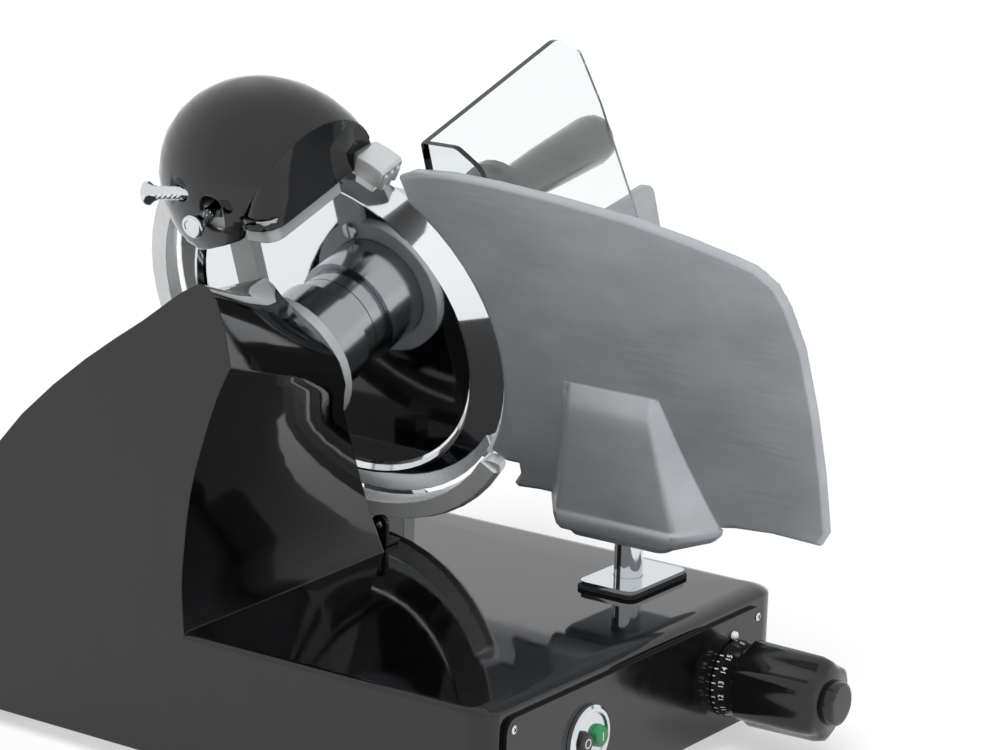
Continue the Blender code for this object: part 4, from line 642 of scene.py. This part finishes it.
# %% Numbers
NUMBER_SIZE = 4.6 * MM
NUMBER_DEPTH = 7.8 * MM
NUMBER_RADIUS = 23 * MM


def figure(text, size):
    """The outline of a text as a flat mesh, centred, in metres."""
    letters = bpy.data.curves.new("figure", "FONT")
    letters.body = text
    letters.size = size
    letters.align_x = "CENTER"
    letters.extrude = 0.5
    letters.resolution_u = 3
    item = bpy.data.objects.new("figure", letters)
    bpy.context.scene.collection.objects.link(item)
    depsgraph = bpy.context.evaluated_depsgraph_get()
    flat = bpy.data.meshes.new_from_object(item.evaluated_get(depsgraph))
    bpy.data.objects.remove(item)
    return flat


numbers = bmesh.new()
for step in range(DIAL_STEPS + 1):
    flat = figure(str(step), NUMBER_SIZE)
    middle = DIAL_SWEEP * step / DIAL_STEPS
    for vertex in flat.vertices:
        x, y, side = vertex.co
        lift = PRINT_LIFT if side > 0 else 0.0
        vertex.co = skirt_point(middle + x / NUMBER_RADIUS, NUMBER_DEPTH - y, lift)
    numbers.from_mesh(flat)
    bpy.data.meshes.remove(flat)
data = bpy.data.meshes.new("dial_numbers")
numbers.to_mesh(data)
numbers.free()
dial_numbers = bpy.data.objects.new("dial_numbers", data)
bpy.context.scene.collection.objects.link(dial_numbers)
data.materials.append(ink)
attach(dial_numbers, "dial")
print("numbers:", DIAL_STEPS + 1)

# %% [markdown]
# Where the ring guard ends near the gauge plate it widens into a cast pad: its outer face
# is broad and flat, and three short teeth at its tip lead the food onto the plate. The pad
# is a loft, cross-sections of one polygon joined in order round the spindle.

# %% End pad of the ring guard
def loft(work, loops):
    """Joins rings of points into one closed skin with a face at either end."""
    rings = [[work.verts.new(point) for point in loop] for loop in loops]
    count = len(rings[0])
    for low, high in zip(rings, rings[1:]):
        for i in range(count):
            j = (i + 1) % count
            work.faces.new((low[i], low[j], high[j], high[i]))
    work.faces.new(rings[0][::-1])
    work.faces.new(rings[-1])


def pad_section(degrees, inner, outer, back, front, edge=1.2):
    """Section at an angle round the blade: radii and places along the spindle, edges rounded."""
    turn = radians(degrees)
    nick = 0.3 * edge
    corners = [(inner, back), (inner, front), (outer - edge, front), (outer - nick, front - nick),
               (outer, front - edge), (outer, back + edge), (outer - nick, back + nick),
               (outer - edge, back)]
    return [on_blade(s, r * cos(turn), r * sin(turn)) for r, s in corners]


def pad(work):
    """The pad, drawn from the ring to its tip, and its three teeth."""
    rows = [(103.0, 133.0, 141.9, -10.5, -0.6), (107.0, 133.0, 142.0, -11.0, 0.6),
            (111.5, 133.0, 142.8, -12.4, 2.0), (113.4, 133.0, 146.0, -17.4, 3.4),
            (117.0, 133.0, 146.6, -17.5, 3.4), (120.6, 133.0, 146.2, -17.5, 3.4),
            (121.4, 133.6, 145.0, -16.9, 2.6)]
    loft(work, [pad_section(*row) for row in rows])
    for s in (-14.5, -8.5, -2.5):
        rows = [(121.0, 131.5, 144.6, s - 1.5, s + 1.5, 0.5),
                (122.2, 132.5, 143.0, s - 1.1, s + 1.1, 0.5)]
        loft(work, [pad_section(*row) for row in rows])


def shade(item, limit=40):
    """Smooth shading that keeps edges steeper than the limit sharp."""
    item.data.shade_smooth()
    item.data.set_sharp_from_angle(angle=radians(limit))


ring_end_pad = mesh_object("ring_end_pad", pad)
shade(ring_end_pad, 25)
ring_end_pad.data.materials.append(
    casting("cast_pad_aluminium", "#c4c6c7", "#d2d4d5", 0.34, 0.46, 0.7))
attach(ring_end_pad, "frame_body")
print("ring end pad:", len(ring_end_pad.data.polygons), "faces")

# %% [markdown]
# Below its crease the sharpener's cover comes down as a slightly hollowed skirt and ends on
# the rim of the plate. The skirt is lofted from the crease, which is the curve where a plane
# cuts the ellipsoid of the cover, to the plate's outline.

# %% Skirt of the sharpener's cover
COVER_MIDDLE = Vector((-40.0, -7.0, 120.0))
COVER_HALF = Vector((55.0, 76.0, 67.0))
FACET = Vector((0.229, 0.892, 0.39))
FACET_AT = 3.4


def crease(degrees):
    """Point where the flat facet meets the ellipsoid, in the blade's millimetres."""
    scaled = Vector([a * b for a, b in zip(COVER_HALF, FACET)])
    axis = scaled.normalized()
    depth = (FACET_AT - FACET.dot(COVER_MIDDLE)) / scaled.length
    first = axis.cross(Vector((0, 0, 1))).normalized()
    second = first.cross(axis)
    reach = sqrt(1 - depth * depth)
    unit = axis * depth + (first * cos(radians(degrees)) + second * sin(radians(degrees))) * reach
    return COVER_MIDDLE + Vector([a * b for a, b in zip(COVER_HALF, unit)])


# Angle on the crease, the foot's place along and across the blade, the way out of the cover
# there, and the height of the foot.
SKIRT_ROWS = (
    (167.0, -94.0, -27.6, -1.0, 0.1, 123.6),
    (163.0, -97.2, -32.0, -1.0, 0.0, 123.2),
    (158.0, -97.2, -38.0, -1.0, 0.0, 123.2),
    (152.0, -96.0, -44.0, -0.9, -0.4, 123.2),
    (146.0, -93.0, -48.2, -0.65, -0.75, 123.2),
    (140.0, -88.0, -50.6, -0.25, -0.95, 123.3),
    (134.0, -82.0, -51.1, 0.0, -1.0, 123.4),
    (124.0, -73.0, -51.1, 0.0, -1.0, 123.4),
    (114.0, -64.0, -51.1, 0.0, -1.0, 123.4),
    (104.0, -55.5, -51.1, 0.0, -1.0, 123.4),
    (94.0, -47.0, -51.1, 0.0, -1.0, 123.4),
    (84.0, -39.0, -51.1, 0.0, -1.0, 123.4),
    (74.0, -31.5, -51.1, 0.0, -1.0, 123.4),
    (64.0, -24.0, -51.1, 0.0, -1.0, 123.4),
    (55.0, -16.6, -51.1, 0.0, -1.0, 123.6),
    (50.0, -13.6, -51.1, 0.0, -1.0, 134.2),
    (43.0, -9.0, -51.3, 0.0, -1.0, 134.4),
    (36.0, -4.5, -51.6, 0.0, -1.0, 134.6),
    (28.0, 0.6, -52.0, 0.0, -1.0, 134.8),
)


SKIRT_STEPS = 8
LIP_REACH = 1.9
SHELF_HEIGHT = 129.5


def skirt(work):
    """The skirt as a loft of closed sections, from the back of the cover to its front corner."""
    loops = []
    for degrees, s, y, out_s, out_y, z in SKIRT_ROWS:
        top = crease(degrees)
        outward = Vector((out_s, out_y, 0.0)).normalized()
        foot = Vector((s, y, z))
        lip = foot + outward * LIP_REACH
        pull = Vector((top.x, top.y, 0)) - Vector((COVER_MIDDLE.x, COVER_MIDDLE.y, 0))
        start = top + pull.normalized() * 0.25
        height = max((start - lip).length, 0.1)
        # Slightly hollow along the side, and bulging where it turns the corner at the back.
        corner = min(max((degrees - 105) / 40, 0.0), 1.0)
        depth = (0.05 - 0.16 * corner) * height
        outer = []
        for step in range(SKIRT_STEPS + 1):
            share = step / SKIRT_STEPS
            hollow = depth * 4 * share * (1 - share)
            outer.append(start.lerp(lip, share) - outward * hollow)
        shelf = Vector((foot.x, foot.y, max(z, SHELF_HEIGHT))) + outward * 0.05
        facet_y = (FACET_AT - FACET.x * shelf.x - FACET.z * shelf.z) / FACET.y
        inner = [foot + outward * 0.3, shelf + outward * 0.2,
                 Vector((shelf.x, max(facet_y, shelf.y) - 0.15, shelf.z)),
                 top - pull.normalized() * 0.4]
        loops.append([on_blade(*point) for point in outer + inner])
    loft(work, loops)


cover_skirt = mesh_object("cover_skirt", skirt)
shade(cover_skirt, 45)
cover_skirt.data.materials.append(FINISHES["black_enamel"])
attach(cover_skirt, "frame_body")
print("cover skirt:", len(cover_skirt.data.polygons), "faces")

# %% [markdown]
# The boss on the back of the gauge plate is one casting with the plate. Its upper edge rolls
# over in a broad radius that catches the light, and its lower end widens to a rounded foot,
# so the solid's plain wedge gets a finer skin, lofted a little outside it.

# %% Skin of the gauge boss
# Height up the blade, near and far foot, near and far edge of the face, and the face's depth.
BOSS_ROWS = (
    (-7.0, -173.6, -241.6, -178.0, -238.5, -7.6),
    (-9.5, -173.0, -242.6, -178.2, -238.5, -9.4),
    (-13.0, -172.3, -243.8, -178.6, -238.5, -11.6),
    (-17.0, -171.6, -245.0, -178.6, -238.5, -13.4),
    (-22.0, -170.8, -246.6, -178.2, -238.6, -14.6),
    (-30.0, -169.4, -248.8, -177.0, -239.3, -15.6),
    (-46.0, -165.0, -254.0, -173.5, -241.0, -17.6),
    (-62.0, -160.4, -259.8, -170.0, -243.0, -19.4),
    (-78.0, -155.4, -265.8, -166.6, -245.0, -21.4),
    (-91.6, -150.4, -271.6, -163.4, -246.6, -23.2),
    (-92.6, -149.2, -273.4, -162.2, -248.0, -24.4),
    (-97.0, -150.8, -271.8, -162.4, -247.6, -25.2),
    (-101.5, -154.0, -267.0, -162.6, -245.0, -25.3),
    (-104.0, -157.0, -263.5, -164.4, -241.5, -25.0),
)
PLATE_INSIDE = -6.4
PLATE_FACE = -7.2
EDGE_ROLL = 2.2
EDGE_REACH = 2.6


def boss_section(z, near, far, face_near, face_far, face):
    """Section at one height: foot, flank, rounded edge, face, and the same on the far side."""
    roll = min(EDGE_ROLL, PLATE_FACE - face)
    halves = []
    for foot, edge, inward in ((near, face_near, -1), (far, face_far, 1)):
        slope = (edge - foot) * 0.16
        half = [(PLATE_INSIDE, foot), (PLATE_FACE, foot)]
        for turn in (0, 22, 45, 68, 90):
            fall = 1 - sin(radians(turn))
            reach = EDGE_REACH * (1 - cos(radians(turn)))
            half.append((face + roll * fall, edge - slope * fall + inward * reach))
        halves.append(half)
    return [on_blade(s, y, z) for s, y in halves[0] + halves[1][::-1]]


def boss(work):
    """The skin, drawn from its top down."""
    loft(work, [boss_section(*row) for row in BOSS_ROWS])


boss_skin = mesh_object("gauge_boss_skin", boss)
shade(boss_skin, 40)
boss_skin.data.materials.append(FINISHES["brushed_aluminium"])
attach(boss_skin, "gauge")
print("boss skin:", len(boss_skin.data.polygons), "faces")

# %% [markdown]
# The two sharpener buttons are turned in one piece with their shafts: a cap with a turned
# groove, a waist, and a twisted grip on the part that slides in the cover. They are lathed
# again here, finer than the solids, with twelve shallow flutes wound round the grip.

# %% Sharpener buttons
def lathed(work, start, axis, rows, count=48, flutes=12, twist=0.16):
    """Turns a profile of (distance, radius, flute depth) in millimetres round an axis."""
    side = axis.cross(ACROSS if abs(axis.y) < 0.5 else UP_BLADE).normalized()
    other = axis.cross(side)
    loops = []
    for distance, radius, depth in rows:
        loop = []
        for i in range(count):
            turn = 2 * pi * i / count
            reach = radius - depth * (0.5 + 0.5 * cos(flutes * turn + distance * twist * flutes))
            across = side * reach * cos(turn) + other * reach * sin(turn)
            loop.append(start + (axis * distance + across) * MM)
        loops.append(loop)
    loft(work, loops)


CAP_ROWS = [(0.5, 4.6, 0.0), (0.1, 5.0, 0.0), (0.1, 6.4, 0.0), (0.5, 7.0, 0.0), (1.2, 7.3, 0.0),
            (3.0, 7.3, 0.0), (3.6, 6.9, 0.0), (6.0, 5.0, 0.0), (8.2, 4.4, 0.0)]


def button(name, node, body_name, start, axis, grip_end, tail):
    """A turned button with its cap at the start, its fluted grip and its own tail."""
    grip = [(8.6 + (grip_end - 8.6) * i / 24, 4.45, 0.45) for i in range(25)]
    rows = CAP_ROWS + grip + [(grip_end + 0.6, 4.0, 0.0)] + tail
    piece = mesh_object(name, lambda work: lathed(work, start, axis, rows))
    shade(piece, 35)
    piece.data.materials.append(FINISHES["chrome"])
    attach(piece, body_name)
    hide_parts(node)
    return piece


grind_start = on_blade(-114.0, -4.0, 128.0)
grind_part = button("grind_button_turned", "grind_button", "grind_press", grind_start, SPINDLE,
                    34.0, [(90.0, 4.0, 0.0), (90.0, 2.5, 0.0), (98.8, 2.5, 0.0)])
DEBURR_DRAWN_OUT = 17.3 * MM
slanted = (SPINDLE * 0.30 - ACROSS * 0.954).normalized()
deburr_start = on_blade(-90.0, 29.0, 133.8) - slanted * DEBURR_DRAWN_OUT
deburr_part = button("deburr_button_turned", "deburr_button", "deburr_press", deburr_start,
                     slanted, 25.8, [(35.8, 4.0, 0.0)])
print("buttons:", [len(piece.data.polygons) for piece in (grind_part, deburr_part)])

# %% [markdown]
# Screws are what the eye uses to judge size. The heads come with the solids, and the hexagon
# sockets are not cut: each is a dark prism, a tenth of a millimetre high, on the middle of its
# head, painted shade that stands for the hole. The head's face is found from the solid's own
# points.

# %% Screw sockets
def face_centre(node, axis):
    """The middle of the face of a solid that lies furthest along an axis."""
    points = [vertex.co for vertex in frame["nodes"][node].data.vertices]
    furthest = max(point.dot(axis) for point in points)
    near = [point for point in points if furthest - point.dot(axis) < 0.05 * MM]
    return sum(near, Vector()) / len(near)


def prism_on(work, centre, axis, radius, height, count, crown=0.0):
    """A small prism or button that stands on a face, with its top edge drawn in by the crown."""
    turned = axis.to_track_quat("Z", "Y").to_matrix()
    rows = [(radius, -0.02 * MM), (radius, height * 0.5), (radius - crown, height)]
    loops = []
    turns = [2 * pi * i / count for i in range(count)]
    for reach, rise in rows:
        loops.append([centre + turned @ Vector((reach * cos(turn), reach * sin(turn), rise))
                      for turn in turns])
    loft(work, loops)


# The sockets' finish is painted shade: near-black, so that a flat prism reads as a hole.
painted_hole_shade, tree, shader = finish("painted_socket_shade", "#08080a", Metallic=0.6)
tree.links.new(spread(tree, grain(tree, 0.5 * MM).outputs[0], 0.35, 0.55),
               shader.inputs["Roughness"])
SOCKET_RADIUS = 2.2 * MM
SOCKET_HEIGHT = 0.12 * MM
SOCKETS = {"blade_screw_1": SPINDLE, "blade_screw_2": SPINDLE, "blade_screw_3": SPINDLE,
           "guard_screw_1": -ACROSS, "guard_screw_2": -ACROSS}
BODIES = frame["record"]["behaviour"]["bodies"]
BODY_OF = {node: body for body, nodes in BODIES.items() for node in nodes}
for node, axis in SOCKETS.items():
    middle = face_centre(node, axis)
    piece = mesh_object(node + "_socket", lambda work: prism_on(
        work, middle, axis, SOCKET_RADIUS, SOCKET_HEIGHT, 6))
    piece.data.materials.append(painted_hole_shade)
    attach(piece, BODY_OF[node])
print("sockets:", len(SOCKETS))

# %% [markdown]
# The front panel is held by four small raised screws with a crossed slot, the base plate by
# six. Each is a low crowned disc with two dark bars across it, painted shade for the slot.

# %% Panel and plate screws
HEAD_HEIGHT = 1.1 * MM
HEAD_CROWN = 0.9 * MM
SLOT_REACH = 0.55
SLOT_HALF_WIDTH = 0.35 * MM
SLOT_SUNK = 0.05 * MM
SLOT_THICKNESS = 0.12 * MM


def crossed_screw(name, centre, axis, side, radius):
    """A crowned head on a face, and its crossed slot as a piece of its own, dark bars of painted
    shade.
    """
    head = mesh_object(name, lambda work: prism_on(
        work, centre, axis, radius, HEAD_HEIGHT, 20, crown=HEAD_CROWN))
    shade(head)
    head.data.materials.append(FINISHES["chrome"])
    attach(head, "frame_body")
    other = axis.cross(side)

    def bars(work):
        top = centre + axis * HEAD_HEIGHT
        for along, beside in ((side, other), (other, side)):
            low = [top + along * a * radius * SLOT_REACH + beside * b * SLOT_HALF_WIDTH
                   - axis * SLOT_SUNK for a, b in ((-1, -1), (1, -1), (1, 1), (-1, 1))]
            loft(work, [low, [point + axis * SLOT_THICKNESS for point in low]])

    # The slot is painted shade: two dark bars standing for the cut, in the sockets' dark finish.
    slot_shade_bars = mesh_object(name + "_slot", bars)
    slot_shade_bars.data.materials.append(painted_hole_shade)
    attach(slot_shade_bars, "frame_body")


PANEL_INSET = 6.5 * MM
PLATE_INSET_X = 14 * MM
PLATE_INSET_Y = 22 * MM
PLATE_SCREWS = 6
DOWN = Vector((0.0, 0.0, -1.0))
low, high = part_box("control_panel")
count = 0
for x in (low[0] + PANEL_INSET, high[0] - PANEL_INSET):
    for z in (low[2] + PANEL_INSET, high[2] - PANEL_INSET):
        count += 1
        crossed_screw(f"panel_screw_{count}", Vector((x, low[1], z)), -ACROSS,
                      Vector((0.8, 0, 0.6)), 2.6 * MM)
low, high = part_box("base_plate")
for index in range(PLATE_SCREWS):
    x = (low[0] + PLATE_INSET_X) if index % 2 else (high[0] - PLATE_INSET_X)
    y = low[1] + PLATE_INSET_Y + (high[1] - low[1] - 2 * PLATE_INSET_Y) * (index // 2) / 2
    crossed_screw(f"plate_screw_{index + 1}", Vector((x, y, low[2])), DOWN,
                  Vector((1, 0, 0)), 3.2 * MM)
print("screws:", count + PLATE_SCREWS)

# %% [markdown]
# The two round push buttons carry the usual signs, a bar for on and a ring for off, raised a
# little and filled with white.

# %% Signs on the push buttons
SIGN_SUNK, SIGN_RAISED = -0.03, 0.15


def sign_point(node, u, v, rise):
    """Point on a button's face, all in millimetres: to the right, up and off the face."""
    middle = face_centre(node, -ACROSS)
    return middle + Vector((u * MM, -rise * MM, v * MM))


def ring_sign(work, node="off_button", radius=2.6, half=0.35, count=24):
    """A flat raised ring."""
    corners = [(radius - half, SIGN_SUNK), (radius - half, SIGN_RAISED),
               (radius + half, SIGN_RAISED), (radius + half, SIGN_SUNK)]
    rings = []
    for i in range(count):
        turn = 2 * pi * i / count
        rings.append([work.verts.new(sign_point(node, r * cos(turn), r * sin(turn), rise))
                      for r, rise in corners])
    for i in range(count):
        a, b = rings[i], rings[(i + 1) % count]
        for k in range(4):
            work.faces.new((a[k], a[(k + 1) % 4], b[(k + 1) % 4], b[k]))


def bar_sign(work, node="on_button"):
    """A flat raised upright bar."""
    corners = ((-0.4, -2.6), (0.4, -2.6), (0.4, 2.6), (-0.4, 2.6))
    loft(work, [[sign_point(node, u, v, rise) for u, v in corners]
                for rise in (SIGN_SUNK, SIGN_RAISED)])


SIGNS = (("off_sign", ring_sign, "off_switch"), ("on_sign", bar_sign, "on_switch"))
for name, build, body_name in SIGNS:
    piece = mesh_object(name, build)
    piece.data.materials.append(ink)
    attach(piece, body_name)
print("signs:", len(SIGNS))
